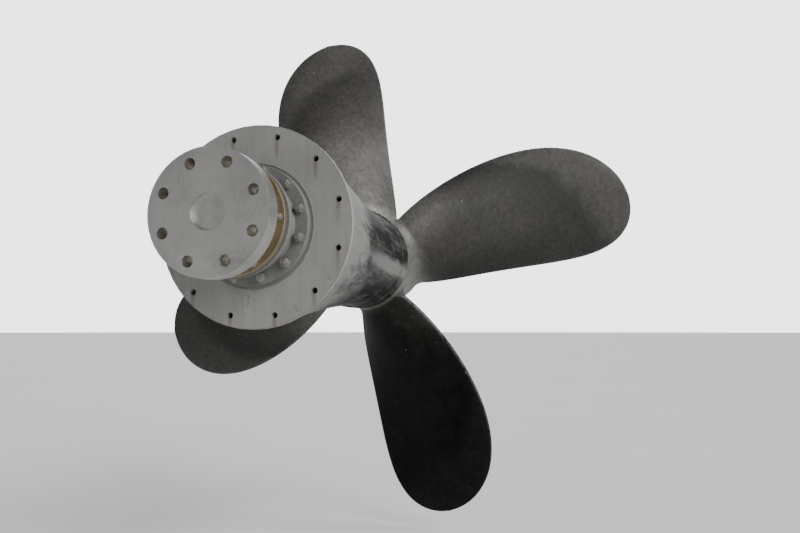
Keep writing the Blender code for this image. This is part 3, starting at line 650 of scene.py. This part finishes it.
def dress_node(item, finish, width, facets):
    """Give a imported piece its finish, smooth facets and, with a width above 0, soft edges."""
    item.data.materials.clear()
    item.data.materials.append(finish_of(finish))
    item.modifiers.new("facets", "NODES").node_group = facets
    if width:
        soft = item.modifiers.new("edges", "BEVEL")
        soft.width = width
        soft.segments = 2
        soft.limit_method = "ANGLE"
        soft.angle_limit = math.radians(38)
        soft.harden_normals = True


def smooth(mesh, sharp):
    """Smooth shading, with edges of more than sharp degrees left sharp."""
    mesh.shade_smooth()
    mesh.set_sharp_from_angle(angle=math.radians(sharp))
    return mesh


def close_mesh(name, shape, sharp=35.0):
    """A mesh of the shape, with its faces turned outward."""
    bmesh.ops.recalc_face_normals(shape, faces=shape.faces)
    mesh = bpy.data.meshes.new(name)
    shape.to_mesh(mesh)
    shape.free()
    return smooth(mesh, sharp)


def as_object(name, data):
    """Data in the scene, at the origin."""
    item = bpy.data.objects.new(name, data)
    bpy.context.scene.collection.objects.link(item)
    return item


def add_piece(mesh, body, finish):
    """A piece with its mesh's name, which rides on a body."""
    item = as_object(mesh.name, mesh)
    mesh.materials.clear()
    mesh.materials.append(finish_of(finish))
    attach(item, body)
    return item


def around(x, radius, angle):
    """A point at a distance from the shaft. Angle 0 is to port and a quarter turn is up."""
    return Vector((x, -radius * math.cos(angle), SHAFT_Z + radius * math.sin(angle)))


def outward_at(angle):
    """The direction away from the shaft at an angle."""
    return around(0.0, 1.0, angle) - around(0.0, 0.0, angle)


def loft(shape, rings, closed):
    """Join rings of points with faces; a closed loft ends where it began."""
    made = [[shape.verts.new(point) for point in ring] for ring in rings]
    pairs = list(zip(made, made[1:]))
    if closed:
        pairs.append((made[-1], made[0]))
    for low, high in pairs:
        for i in range(len(low)):
            j = (i + 1) % len(low)
            shape.faces.new((low[i], low[j], high[j], high[i]))
    return made


def close_ends(shape, made):
    """Flat ends on an open loft."""
    shape.faces.new(made[0])
    shape.faces.new(list(reversed(made[-1])))


def turned(shape, profile, steps):
    """Turn a closed outline of (x, radius) points about the shaft."""
    rings = [[around(x, radius, 2 * math.pi * i / steps) for x, radius in profile] for i in range(steps)]
    loft(shape, rings, True)


def combine(name, mesh, others, sharp=35.0):
    """The mesh after Boolean steps, each an (operation, mesh) pair."""
    base = as_object(name + "_base", mesh)
    made = [base]
    for i, (operation, other) in enumerate(others):
        helper = as_object("%s_helper_%d" % (name, i), other)
        made.append(helper)
        step = base.modifiers.new("step", "BOOLEAN")
        step.operation = operation
        step.solver = "EXACT"
        step.object = helper
    graph = bpy.context.evaluated_depsgraph_get()
    result = bpy.data.meshes.new_from_object(base.evaluated_get(graph))
    result.name = name
    for item in made:
        bpy.data.objects.remove(item, do_unlink=True)
    shape = bmesh.new()
    shape.from_mesh(result)
    bmesh.ops.dissolve_degenerate(shape, dist=WELD_DISTANCE, edges=shape.edges)
    shape.to_mesh(result)
    shape.free()
    return smooth(result, sharp)


def stack(shape, seat, direction, sides, steps):
    """A many-sided solid through (height, radius) steps along a direction, closed at both ends."""
    turn = direction.to_track_quat("Z", "Y")
    angles = [2 * math.pi * i / sides for i in range(sides)]
    rings = [[seat + turn @ Vector((radius * math.cos(a), radius * math.sin(a), height)) for a in angles]
             for height, radius in steps]
    close_ends(shape, loft(shape, rings, False))


def bar(shape, start, direction, length, radius, sides, tip_radius=None):
    """A round bar that starts at a point and runs along a direction."""
    stack(shape, start, direction, sides, ((0.0, radius), (length, tip_radius or radius)))


def hex_nut(shape, seat, direction, width, height):
    """A chamfered nut on a washer, with the end of its stud."""
    corner = width / 2 / math.cos(math.pi / 6)
    bar(shape, seat, direction, height * 0.14, corner * 1.12, 32)
    flats = ((height * 0.15, corner), (height * 0.85, corner), (height, corner * 0.88))
    stack(shape, seat, direction, 6, flats)
    bar(shape, seat + direction * (height * 0.90), direction, height * 0.45, width * 0.30, 24, width * 0.27)


BEAD_SIDES = 8
BEAD_HEIGHT = 0.26
BEAD_STEP = 0.006
SEAM_STEPS = 240


def bead(shape, path, width, outward, closed):
    """A weld bead along a path: a low half-round with the ripples of its runs."""
    count = len(path)
    rings = []
    for i, point in enumerate(path):
        ahead = path[(i + 1) % count] if closed or i + 1 < count else point
        behind = path[i - 1] if closed or i else point
        lift = outward[i].normalized()
        cross = (ahead - behind).normalized().cross(lift).normalized()
        ripple = 1.0 + 0.10 * math.sin(i * 1.9) + 0.10 * noise.noise(point * 22.0)
        across, height = width / 2 * ripple, width * BEAD_HEIGHT * ripple
        turns = [2 * math.pi * k / BEAD_SIDES for k in range(BEAD_SIDES)]
        rings.append([point + cross * (across * math.cos(a)) + lift * (height * math.sin(a)) for a in turns])
    made = loft(shape, rings, closed)
    if not closed:
        close_ends(shape, made)


# The wheel

# Hub: places along the shaft, falls from its fullest radius, and the shaft taper inside
HUB_FORWARD_X = SEAL_LOW.x
HUB_AFT_X = NUT_LOW.x - GAP
HUB_SHOULDER_X = GUARD_HIGH.x + RUNNING_CLEARANCE
HUB_MAX_X = HUB_SHOULDER_X + 0.125
HUB_FORWARD_FALL = 0.008
HUB_AFT_FALL = 0.060
HUB_AFT_EASE = 1.6
HUB_EDGE = 0.012
HUB_COLLAR_RADIUS = 0.337
HUB_RECESS_RADIUS = SEAL_RADIUS + GAP
HUB_RECESS_DEPTH = 0.030
TAPER_RADIUS = 0.170
TAPER_SLOPE = 1 / 24

# Blades: chord and sweep are polynomials of the span, from hub to tip
CHORD = (0.681, 0.707, -0.198)
SWEEP = (-0.058, 0.412, -0.505)
TIP_ROUNDNESS = 5.43
THICKNESS_EASE = 0.9
BACK_SKEW = 0.8
BACK_FULLNESS = 2.2
BLADE_ROOT_DEPTH = 0.075
ROOT_TRIM = 0.004

# How fine the casting is
SIDE_POINTS = 45
NOSE_POINTS = 5
FILLET_RINGS = 14
FILLET_PASSES = 4
TOE_RINGS = 28
SPAN_RINGS = 60
TIP_SHARE = 0.99996
HUB_STEPS = 200
HUB_RINGS = 56

# Blades with painted light and shade unlike the others, counted from the first one above the horizontal: a
# painted highlight on the upper blade and painted shade on the lower one
HIGHLIT_BLADE = 1
SHADED_BLADE = 3

# How much of the painted shade shows on the aft side of the shaded blade
SHADE_AFT = 0.6

# What the bronze reads from the mesh: the place on a blade, and the painted shade and highlight
PLACES = ("span", "across", "painted_shade_and_highlight")
ACROSS_LIMIT = 1.2


def hub_outside(wheel, x):
    """Radius of the hub at a place along the shaft."""
    if x < HUB_MAX_X:
        share = (HUB_MAX_X - x) / (HUB_MAX_X - HUB_SHOULDER_X)
        return wheel.hub_radius - HUB_FORWARD_FALL * share ** 2
    share = (x - HUB_MAX_X) / (HUB_AFT_X - HUB_MAX_X)
    return wheel.hub_radius - HUB_AFT_FALL * share ** HUB_AFT_EASE


def span_share(wheel, radius):
    """How far out on a blade a radius is: 0 at the hub, 1 at the tip."""
    root = wheel.hub_radius - HUB_FORWARD_FALL
    return (max(radius, root) - root) / (wheel.tip_radius - root)


def chord(wheel, radius):
    """Width of a blade, along its pitch line."""
    share = span_share(wheel, radius)
    width = CHORD[0] + CHORD[1] * share + CHORD[2] * share ** 2
    return width * math.sqrt(max(1.0 - share ** TIP_ROUNDNESS, 0.0))


def sweep(wheel, radius):
    """How far the middle of a blade's width lies ahead of the generator line, along the pitch line."""
    share = span_share(wheel, radius)
    return SWEEP[0] + SWEEP[1] * share + SWEEP[2] * share ** 2


def blade_thickness(wheel, radius):
    """Greatest thickness of a blade at a radius."""
    share = min(span_share(wheel, radius), 1.0) ** THICKNESS_EASE
    return wheel.root_thickness + (wheel.tip_thickness - wheel.root_thickness) * share


def pitch_angle(wheel, radius):
    """Slope of the pitch line to the plane of the wheel, in radians."""
    return math.atan2(wheel.pitch, 2 * math.pi * radius)


def generator_x(wheel, radius):
    """Where the raked generator line of a blade lies along the shaft."""
    return HUB_SHOULDER_X + wheel.blade_setback + radius * math.tan(wheel.rake)


def fillet_reach(wheel, height):
    """How far the root fillet stands out at a height above the hub."""
    if height >= wheel.root_fillet:
        return 0.0
    fall = wheel.root_fillet - max(height, 0.0)
    return wheel.root_fillet - math.sqrt(wheel.root_fillet ** 2 - fall ** 2)


def blade_ring(wheel, radius):
    """Points round the blade where it meets a cylinder, each (x, arc): back, trailing nose, face, nose."""
    pitch = pitch_angle(wheel, radius)
    lead = Vector((-math.sin(pitch), math.cos(pitch)))
    out = Vector((-math.cos(pitch), -math.sin(pitch)))
    generator = Vector((generator_x(wheel, radius), 0.0))
    width = chord(wheel, radius)
    edge = min(wheel.edge_thickness, width / 4)
    swell = max(blade_thickness(wheel, radius), wheel.edge_thickness) - edge

    def point(share, height, overhang, tilt):
        bare = generator + lead * (sweep(wheel, radius) + width * (0.5 - share) + overhang) + out * height
        spot = bare
        for _ in range(FILLET_PASSES):
            flare = fillet_reach(wheel, radius - hub_outside(wheel, spot.x))
            spot = bare + lead * (flare * (1.0 - 2.0 * share)) + out * (flare * tilt)
        return Vector((max(spot.x, HUB_SHOULDER_X + ROOT_TRIM), spot.y))

    def back(share):
        return edge / 2 + swell * (1.0 - abs(2.0 * share ** BACK_SKEW - 1.0) ** BACK_FULLNESS)

    shares = [0.5 - 0.5 * math.cos(math.pi * i / (SIDE_POINTS - 1)) for i in range(SIDE_POINTS)]
    noses = [math.pi * (i + 1) / (NOSE_POINTS + 1) for i in range(NOSE_POINTS)]
    ring = [point(s, back(s), 0.0, 1.0) for s in shares]
    ring += [point(1.0, edge / 2 * math.cos(a), -edge / 2 * math.sin(a), math.cos(a)) for a in noses]
    ring += [point(s, -edge / 2, 0.0, -1.0) for s in reversed(shares)]
    ring += [point(0.0, -edge / 2 * math.cos(a), edge / 2 * math.sin(a), -math.cos(a)) for a in noses]
    return ring


def blade_radii(wheel):
    """Distances of the blade's rings from the shaft, from inside the hub to the tip."""
    root = hub_outside(wheel, HUB_MAX_X)
    low = wheel.hub_radius - HUB_AFT_FALL
    toes = [low + (root - low) * i / TOE_RINGS for i in range(TOE_RINGS)]
    fillets = [root + wheel.root_fillet * (1.0 - math.cos(math.pi / 2 * i / FILLET_RINGS))
               for i in range(FILLET_RINGS + 1)]
    start = fillets[-1]
    reach = (wheel.tip_radius - start) * TIP_SHARE
    outer = [start + reach * math.sin(math.pi / 2 * (i + 1) / SPAN_RINGS) for i in range(SPAN_RINGS)]
    return [root - BLADE_ROOT_DEPTH] + toes + fillets + outer


def cap_blade(shape, ring):
    """Close an end of a blade with strips from back to face and a fan over each nose."""
    back = ring[:SIDE_POINTS]
    trailing = ring[SIDE_POINTS:SIDE_POINTS + NOSE_POINTS]
    face = list(reversed(ring[SIDE_POINTS + NOSE_POINTS:2 * SIDE_POINTS + NOSE_POINTS]))
    leading = ring[2 * SIDE_POINTS + NOSE_POINTS:]
    for i in range(SIDE_POINTS - 1):
        shape.faces.new((back[i], back[i + 1], face[i + 1], face[i]))
    shape.faces.new([back[-1]] + trailing + [face[-1]])
    shape.faces.new([face[0]] + leading + [back[0]])


def blade_mesh(wheel, number):
    """One blade with its root fillet, reaching a little way into the hub."""
    turn = wheel.rest_turn + 2 * math.pi * number / wheel.blade_count
    rings = [[around(x, radius, turn + arc / radius) for x, arc in blade_ring(wheel, radius)]
             for radius in blade_radii(wheel)]
    shape = bmesh.new()
    made = loft(shape, rings, False)
    cap_blade(shape, made[0])
    cap_blade(shape, made[-1])
    return close_mesh("blade", shape)


def rounded_corner(x, radius, size, count=4):
    """Points of a quarter round from the outside of the hub to its aft face."""
    turns = [math.pi / 2 * i / count for i in range(count + 1)]
    return [(x - size + size * math.sin(a), radius - size + size * math.cos(a)) for a in turns]


def hub_mesh(wheel):
    """The hub with its taper bore and the recess for the seal ring."""
    bore = TAPER_RADIUS + GAP
    recess = HUB_FORWARD_X + HUB_RECESS_DEPTH
    taper_end = bore - TAPER_SLOPE * (HUB_AFT_X - recess)
    edge_x = HUB_AFT_X - HUB_EDGE
    stations = [HUB_SHOULDER_X + (edge_x - HUB_SHOULDER_X) * i / HUB_RINGS for i in range(HUB_RINGS)]
    outside = [(x, hub_outside(wheel, x)) for x in stations]
    profile = [(HUB_FORWARD_X, HUB_RECESS_RADIUS), (HUB_FORWARD_X, HUB_COLLAR_RADIUS),
               (HUB_SHOULDER_X, HUB_COLLAR_RADIUS)] + outside
    profile += rounded_corner(HUB_AFT_X, hub_outside(wheel, edge_x), HUB_EDGE)
    profile += [(HUB_AFT_X, taper_end), (recess, bore), (recess, HUB_RECESS_RADIUS)]
    shape = bmesh.new()
    turned(shape, profile, HUB_STEPS)
    return close_mesh("hub", shape)


def keyway_mesh():
    """What is cut from the hub for the key."""
    shape = bmesh.new()
    low = KEY_LOW - Vector((GAP, GAP, 0.01))
    high = KEY_HIGH + Vector((GAP, GAP, GAP))
    place = Matrix.Translation((low + high) / 2) @ Matrix.Diagonal((*(high - low), 1.0))
    bmesh.ops.create_cube(shape, size=1.0, matrix=place)
    return close_mesh("keyway", shape)


def blade_place(wheel, point):
    """Where a point lies on its blade: span 0 at the hub to 1 at the tip, and across -1 to 1 aft to fore."""
    side, up = -point.y, point.z - SHAFT_Z
    radius = math.hypot(side, up)
    step = 2 * math.pi / wheel.blade_count
    pitch = pitch_angle(wheel, radius)
    turn = (math.atan2(up, side) - wheel.rest_turn + step / 2) % step - step / 2
    along = radius * turn * math.cos(pitch) - (point.x - generator_x(wheel, radius)) * math.sin(pitch)
    half = max(chord(wheel, radius) / 2, 0.01)
    span = max((radius - wheel.hub_radius) / (wheel.tip_radius - wheel.hub_radius), 0.0)
    return span, max(-ACROSS_LIMIT, min(ACROSS_LIMIT, (along - sweep(wheel, radius)) / half))


def blade_number(wheel, point):
    """Which blade a point belongs to, from 0, the first one above the horizontal to port."""
    step = 2 * math.pi / wheel.blade_count
    return round((math.atan2(point.z - SHAFT_Z, -point.y) - wheel.rest_turn) / step) % wheel.blade_count


def ease(value, low, high):
    """0 at low and 1 at high, with soft ends."""
    share = max(0.0, min(1.0, (value - low) / (high - low)))
    return share * share * (3.0 - 2.0 * share)


def wave_surface(wheel, mesh):
    """Hand-ground waviness, moved along the normals and fading towards the thin edges and the tip."""
    normals = [vertex.normal.copy() for vertex in mesh.vertices]
    for vertex, normal in zip(mesh.vertices, normals):
        span, across = blade_place(wheel, vertex.co)
        fade = min(1.0, max(0.0, (0.985 - span) * 12.0)) * min(1.0, max(0.0, (0.97 - abs(across)) * 8.0))
        if span > 0.02:
            wave = noise.noise(vertex.co * 5.0) + 0.5 * noise.noise(vertex.co * 13.0)
            vertex.co += normal * (wheel.ripple * wave * fade)


def store_places(wheel, mesh):
    """Store where each point lies on its blade, and its painted shade and light, from 1, painted shade, to
    -1, painted highlight.
    """
    span, across, painted_shade_and_highlight = (mesh.attributes.new(name, "FLOAT", "POINT") for name in PLACES)
    for i, vertex in enumerate(mesh.vertices):
        place, share = blade_place(wheel, vertex.co)
        span.data[i].value, across.data[i].value = place, share
        up = vertex.co.z - SHAFT_Z
        radius = math.hypot(up, vertex.co.y)
        on_blade = ease(radius, wheel.hub_radius, wheel.hub_radius * 1.08) * ease(abs(share), 1.19, 1.08)
        number = blade_number(wheel, vertex.co)
        # Painted shade below the hub, strongest under its middle
        low_down = ease(-up, wheel.hub_radius * 0.85, wheel.hub_radius * 1.5)
        painted_shade = low_down * ease(abs(vertex.co.y), 0.45, 0.25)
        # The lower blade is painted dark as shade, less so on its aft side
        if number == SHADED_BLADE:
            aft_side = on_blade * ease(vertex.normal.x, -0.3, 0.3)
            painted_shade = max(painted_shade, on_blade) * (1.0 - (1.0 - SHADE_AFT) * aft_side)
        # The upper blade is painted lighter as a highlight, most towards its root
        painted_highlight = on_blade * (0.55 + 1.5 * ease(radius, 1.45, 0.90)) if number == HIGHLIT_BLADE else 0.0
        painted_shade_and_highlight.data[i].value = painted_shade - painted_highlight


def make_wheel(wheel):
    """Hub and blades as one casting."""
    steps = [("UNION", blade_mesh(wheel, i)) for i in range(wheel.blade_count)]
    steps.append(("DIFFERENCE", keyway_mesh()))
    mesh = combine("wheel_casting", hub_mesh(wheel), steps, 40.0)
    wave_surface(wheel, mesh)
    store_places(wheel, mesh)
    piece = add_piece(mesh, "wheel", wheel_bronze)
    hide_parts("propeller")


# The fairwater cone

CONE_ROUNDNESS = 2.0
CONE_FULLNESS = 0.80
CONE_WALL = 0.022
CONE_STEPS = 128
CONE_RINGS = 40
CONE_TIP = 0.003

# Bolt pockets, each in a boss of its own that runs along the inside of the wall
POCKET_RADIUS = 0.026
POCKET_CIRCLE = CONE_RADIUS - POCKET_RADIUS * 0.9
POCKET_SETBACK = 0.060
POCKET_LENGTH = 0.300
POCKET_WALL = 0.010
CUTTER_LEAD = 0.010


def cone_body(base, reach, lead):
    """A solid cap over the shaft end, carried forward of its base by a lead."""
    shares = [math.sin(math.pi / 2 * i / CONE_RINGS) for i in range(CONE_RINGS - 1)]
    steps = [(CONE_LOW.x + reach * s, base * (1.0 - s ** CONE_ROUNDNESS) ** CONE_FULLNESS) for s in shares]
    if lead:
        steps.insert(0, (CONE_LOW.x - lead, base))
    steps.append((CONE_LOW.x + reach, CONE_TIP))
    shape = bmesh.new()
    stack(shape, Vector((0.0, 0.0, SHAFT_Z)), AFT, CONE_STEPS, steps)
    return close_mesh("cone_body", shape)


def cone_bars(count, setback, length, radius):
    """Bars along the shaft, one at each bolt of the cone."""
    shape = bmesh.new()
    for i in range(count):
        start = around(CONE_LOW.x + setback, POCKET_CIRCLE, 2 * math.pi * (i + 0.5) / count)
        bar(shape, start, AFT, length, radius, 32)
    return close_mesh("cone_bars", shape)


def make_cone(count):
    """A hollow cap with a boss in its wall round each bolt pocket; the pockets are open from aft."""
    bosses = cone_bars(count, -2 * CUTTER_LEAD, POCKET_LENGTH + 2 * CUTTER_LEAD, POCKET_RADIUS + POCKET_WALL)
    inside = cone_body(CONE_RADIUS - CONE_WALL, CONE_REACH - CONE_WALL, CUTTER_LEAD)
    hollow = combine("hollow", inside, [("DIFFERENCE", bosses)])
    pockets = cone_bars(count, POCKET_SETBACK, POCKET_LENGTH, POCKET_RADIUS)
    steps = [("DIFFERENCE", hollow), ("DIFFERENCE", pockets)]
    mesh = combine("cone_casting", cone_body(CONE_RADIUS, CONE_REACH, 0.0), steps, 40.0)
    for name in PLACES:
        mesh.attributes.new(name, "FLOAT", "POINT")
    piece = add_piece(mesh, "wheel", wheel_bronze)
    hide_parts("fairwater_cone")


# Welds

def shell_edge(x):
    """Outside radius of the bossing plates at a place along the shaft."""
    share = max(0.0, min(1.0, (SHELL_HIGH.x - x) / (SHELL_HIGH.x - PLATE_HIGH.x)))
    return BOSS_RADIUS + (SHELL_RADIUS - BOSS_RADIUS) * share ** SHELL_EASE


def seam_beads(width):
    """Welds along the four seams between the bossing plates."""
    shape = bmesh.new()
    low, high = SHELL_LOW.x + 0.012, SHELL_HIGH.x - 0.010
    places = [low + (high - low) * i / SEAM_STEPS for i in range(SEAM_STEPS + 1)]
    for quarter in range(4):
        angle = math.pi / 2 * quarter
        path = [around(x, shell_edge(x) - 0.001, angle) for x in places]
        bead(shape, path, width, [outward_at(angle)] * len(path), False)
    return close_mesh("seam_welds", shape, 60.0)


def ring_bead(name, x, radius, width, lean):
    """A weld all the way round. Lean, in degrees, tips its crest from outward, at 0, to forward or aft."""
    shape = bmesh.new()
    count = max(int(2 * math.pi * radius / BEAD_STEP), 24)
    turns = [2 * math.pi * i / count for i in range(count)]
    tip = math.radians(lean)
    outward = [outward_at(a) * math.cos(tip) + AFT * math.sin(tip) for a in turns]
    bead(shape, [around(x, radius, a) for a in turns], width, outward, True)
    return close_mesh(name, shape, 60.0)


def make_welds(sizes):
    """The seams of the shell plates, and the rings at their foot, at the boss, seat and rope guard."""
    weld = sizes.weld_width
    beads = (
        seam_beads(weld),
        ring_bead("foot_weld", PLATE_HIGH.x + 0.006, SHELL_RADIUS + 0.001, sizes.fillet_width, 42),
        ring_bead("land_weld", SHELL_HIGH.x, BOSS_RADIUS - 0.001, weld, 0),
        ring_bead("seat_weld", PLATE_LOW.x + 0.0015, SEAT_RADIUS + GAP, weld * 0.8, -90),
        ring_bead("guard_weld", GUARD_LOW.x, BOSS_RADIUS + 0.003, weld * 0.75, -40),
    )
    for mesh in beads:
        add_piece(mesh, "stern", weld_metal)


# Nuts and screws: radii, heights and depths in metres

NUT_HEIGHT = 0.036
SCREW_RADIUS = 0.013
SCREW_HEIGHT = 0.0028
SCREW_SINK = 0.0012
SLOT_SIZE = (0.019, 0.0026, 0.0010)
SLOT_LIFT = 0.0006
BOLT_RADIUS = 0.018
BOLT_HEIGHT = 0.022
BOLT_SINK = 0.002
SOCKET_RADIUS = 0.009
SOCKET_THICKNESS = 0.0008
SOCKET_SINK = 0.0005
HEAD_CHAMFER = 0.0015


def make_flange_nuts(sizes):
    """Studs and nuts that draw the stern tube flange against its seat."""
    circle = (TUBE_FLANGE_RADIUS + BOX_BARREL_RADIUS) / 2
    shape = bmesh.new()
    for i in range(sizes.flange_nuts):
        seat = around(TUBE_LOW.x, circle, 2 * math.pi * (i + 0.5) / sizes.flange_nuts)
        hex_nut(shape, seat, -AFT, sizes.nut_width, NUT_HEIGHT)
    add_piece(close_mesh("tube_flange_nuts", shape, 30.0), "stern", fixing_steel)


def make_guard_screws(sizes):
    """Slotted countersunk screws that hold the rope guard to the boss."""
    shape = bmesh.new()
    total = sizes.guard_screws * 2
    x = (GUARD_LOW.x + BOSS_HIGH.x) / 2
    for i in range(total):
        angle = 2 * math.pi * (i + 0.5) / total
        outward = outward_at(angle)
        seat = around(x, GUARD_RADIUS - SCREW_SINK, angle)
        bar(shape, seat, outward, SCREW_HEIGHT, SCREW_RADIUS, 24, SCREW_RADIUS - HEAD_CHAMFER)
        turn = outward.to_track_quat("Z", "Y").to_matrix().to_4x4()
        slot = Matrix.Translation(seat + outward * (SCREW_HEIGHT + SLOT_LIFT)) @ turn
        bmesh.ops.create_cube(shape, size=1.0, matrix=slot @ Matrix.Diagonal((*SLOT_SIZE, 1.0)))
    add_piece(close_mesh("guard_screws", shape, 30.0), "stern", stern_paint)


def make_cone_bolts(sizes):
    """Socket screws at the bottom of the cone's pockets."""
    shape = bmesh.new()
    for i in range(sizes.cone_bolts):
        angle = 2 * math.pi * (i + 0.5) / sizes.cone_bolts
        start = around(CONE_LOW.x + POCKET_SETBACK - BOLT_SINK, POCKET_CIRCLE, angle)
        bar(shape, start, AFT, BOLT_HEIGHT, BOLT_RADIUS, 24, BOLT_RADIUS - HEAD_CHAMFER)
        socket = start + AFT * (BOLT_HEIGHT - SOCKET_SINK)
        bar(shape, socket, AFT, SOCKET_THICKNESS, SOCKET_RADIUS, 6)
    add_piece(close_mesh("cone_bolts", shape, 30.0), "wheel", fixing_steel)


# Stage

FLOOR_RADIUS = 400.0
SKY_COLOUR = (0.93, 0.94, 0.95, 1.0)


def make_floor(stage, level):
    shape = bmesh.new()
    bmesh.ops.create_circle(shape, cap_ends=True, segments=180, radius=FLOOR_RADIUS,
                            matrix=Matrix.Translation((0.0, 0.0, level)))
    mesh = bpy.data.meshes.new("stage_floor")
    shape.to_mesh(mesh)
    shape.free()
    mesh.materials.append(floor_finish(stage))
    item = as_object("stage_floor", mesh)


def make_light(stage):
    """An even sky, one wide soft light from port and forward, and a weaker one from aft."""
    world = bpy.data.worlds.new("studio")
    world.use_nodes = True
    bpy.context.scene.world = world
    sky = NodeTree(world.node_tree)
    shader = sky.tree.nodes["Background"]
    seen = sky.node("ShaderNodeLightPath", output="Is Camera Ray")
    sky.feed(shader.inputs["Color"], SKY_COLOUR)
    sky.feed(shader.inputs["Strength"], seen * (stage.backdrop - stage.sky) + stage.sky)
    add_light("key_light", stage.key_strength, stage.key_from, stage.light_spread)
    add_light("fill_light", stage.fill_strength, stage.fill_from, stage.light_spread)


def add_light(name, strength, direction, spread):
    light = bpy.data.lights.new(name, "SUN")
    light.energy = strength
    light.angle = spread
    as_object(name, light).rotation_euler = Vector(direction).to_track_quat("Z", "Y").to_euler()


def make_camera(stage):
    camera = bpy.data.cameras.new("photo_camera")
    camera.lens = stage.camera_lens
    camera.sensor_width = 36.0
    camera.clip_start = 0.05
    camera.clip_end = 1000.0
    item = as_object("photo_camera", camera)
    item.location = stage.camera_place
    item.rotation_euler = (math.pi / 2 + stage.camera_climb, 0.0, stage.camera_heading - math.pi / 2)
    bpy.context.scene.camera = item


# Operators

class SHIPPROP_OT_finish_nodes(bpy.types.Operator):
    """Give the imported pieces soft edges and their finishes"""
    bl_idname = "shipprop.finish_nodes"
    bl_label = "Finish packed pieces"

    def execute(self, context):
        facets = soft_facets(math.radians(32))
        for finish, width, names in NODE_LOOKS:
            for name in names:
                dress_node(frame["nodes"][name], finish, width, facets)
        return {"FINISHED"}


class SHIPPROP_OT_wheel(bpy.types.Operator):
    """Make the hub and blades as one fine casting"""
    bl_idname = "shipprop.wheel"
    bl_label = "Make wheel"

    def execute(self, context):
        make_wheel(context.scene.propeller_wheel)
        return {"FINISHED"}


class SHIPPROP_OT_cone(bpy.types.Operator):
    """Make the fairwater cone with its bolt pockets and bolts"""
    bl_idname = "shipprop.cone"
    bl_label = "Make cone"

    def execute(self, context):
        make_cone(context.scene.propeller_fixings.cone_bolts)
        make_cone_bolts(context.scene.propeller_fixings)
        return {"FINISHED"}


class SHIPPROP_OT_welds(bpy.types.Operator):
    """Lay the weld beads of the bossing plates, frame plate and rope guard"""
    bl_idname = "shipprop.welds"
    bl_label = "Lay welds"

    def execute(self, context):
        make_welds(context.scene.propeller_fixings)
        return {"FINISHED"}


class SHIPPROP_OT_fixings(bpy.types.Operator):
    """Add the flange nuts and the rope guard screws"""
    bl_idname = "shipprop.fixings"
    bl_label = "Add fixings"

    def execute(self, context):
        make_flange_nuts(context.scene.propeller_fixings)
        make_guard_screws(context.scene.propeller_fixings)
        return {"FINISHED"}


class SHIPPROP_OT_stage(bpy.types.Operator):
    """Set the floor, the soft light and the camera"""
    bl_idname = "shipprop.stage"
    bl_label = "Set stage"

    def execute(self, context):
        stage = context.scene.propeller_stage
        wheel = context.scene.propeller_wheel
        make_camera(stage)
        make_light(stage)
        make_floor(stage, SHAFT_Z - wheel.tip_radius - stage.floor_clearance)
        return {"FINISHED"}


class SHIPPROP_PT_panel(bpy.types.Panel):
    """Sizes, colours and steps of the ship propeller's looks"""
    bl_label = "Ship propeller"
    bl_idname = "SHIPPROP_PT_panel"
    bl_space_type = "VIEW_3D"
    bl_region_type = "UI"
    bl_category = "Ship propeller"

    def draw(self, context):
        for group, _ in GROUPS:
            box = self.layout.box()
            values = getattr(context.scene, group)
            for name in values.bl_rna.properties.keys():
                if name not in ("rna_type", "name"):
                    box.prop(values, name)
        for step in STEPS:
            self.layout.operator(step.bl_idname)


GROUPS = (("propeller_wheel", WheelSizes), ("propeller_fixings", FixingSizes),
          ("propeller_finishes", Finishes), ("propeller_stage", StageValues))
STEPS = (SHIPPROP_OT_stage, SHIPPROP_OT_finish_nodes, SHIPPROP_OT_wheel, SHIPPROP_OT_cone,
         SHIPPROP_OT_welds, SHIPPROP_OT_fixings)


def register():
    for _, group in GROUPS:
        bpy.utils.register_class(group)
    for step in STEPS:
        bpy.utils.register_class(step)
    bpy.utils.register_class(SHIPPROP_PT_panel)
    for name, group in GROUPS:
        setattr(bpy.types.Scene, name, PointerProperty(type=group))


def unregister():
    for name, _ in GROUPS:
        delattr(bpy.types.Scene, name)
    bpy.utils.unregister_class(SHIPPROP_PT_panel)
    for step in reversed(STEPS):
        bpy.utils.unregister_class(step)
    for _, group in reversed(GROUPS):
        bpy.utils.unregister_class(group)


def main():
    register()
    bpy.ops.shipprop.stage()
    bpy.ops.shipprop.finish_nodes()
    bpy.ops.shipprop.wheel()
    bpy.ops.shipprop.cone()
    bpy.ops.shipprop.welds()
    bpy.ops.shipprop.fixings()


if __name__ == "__main__":
    main()
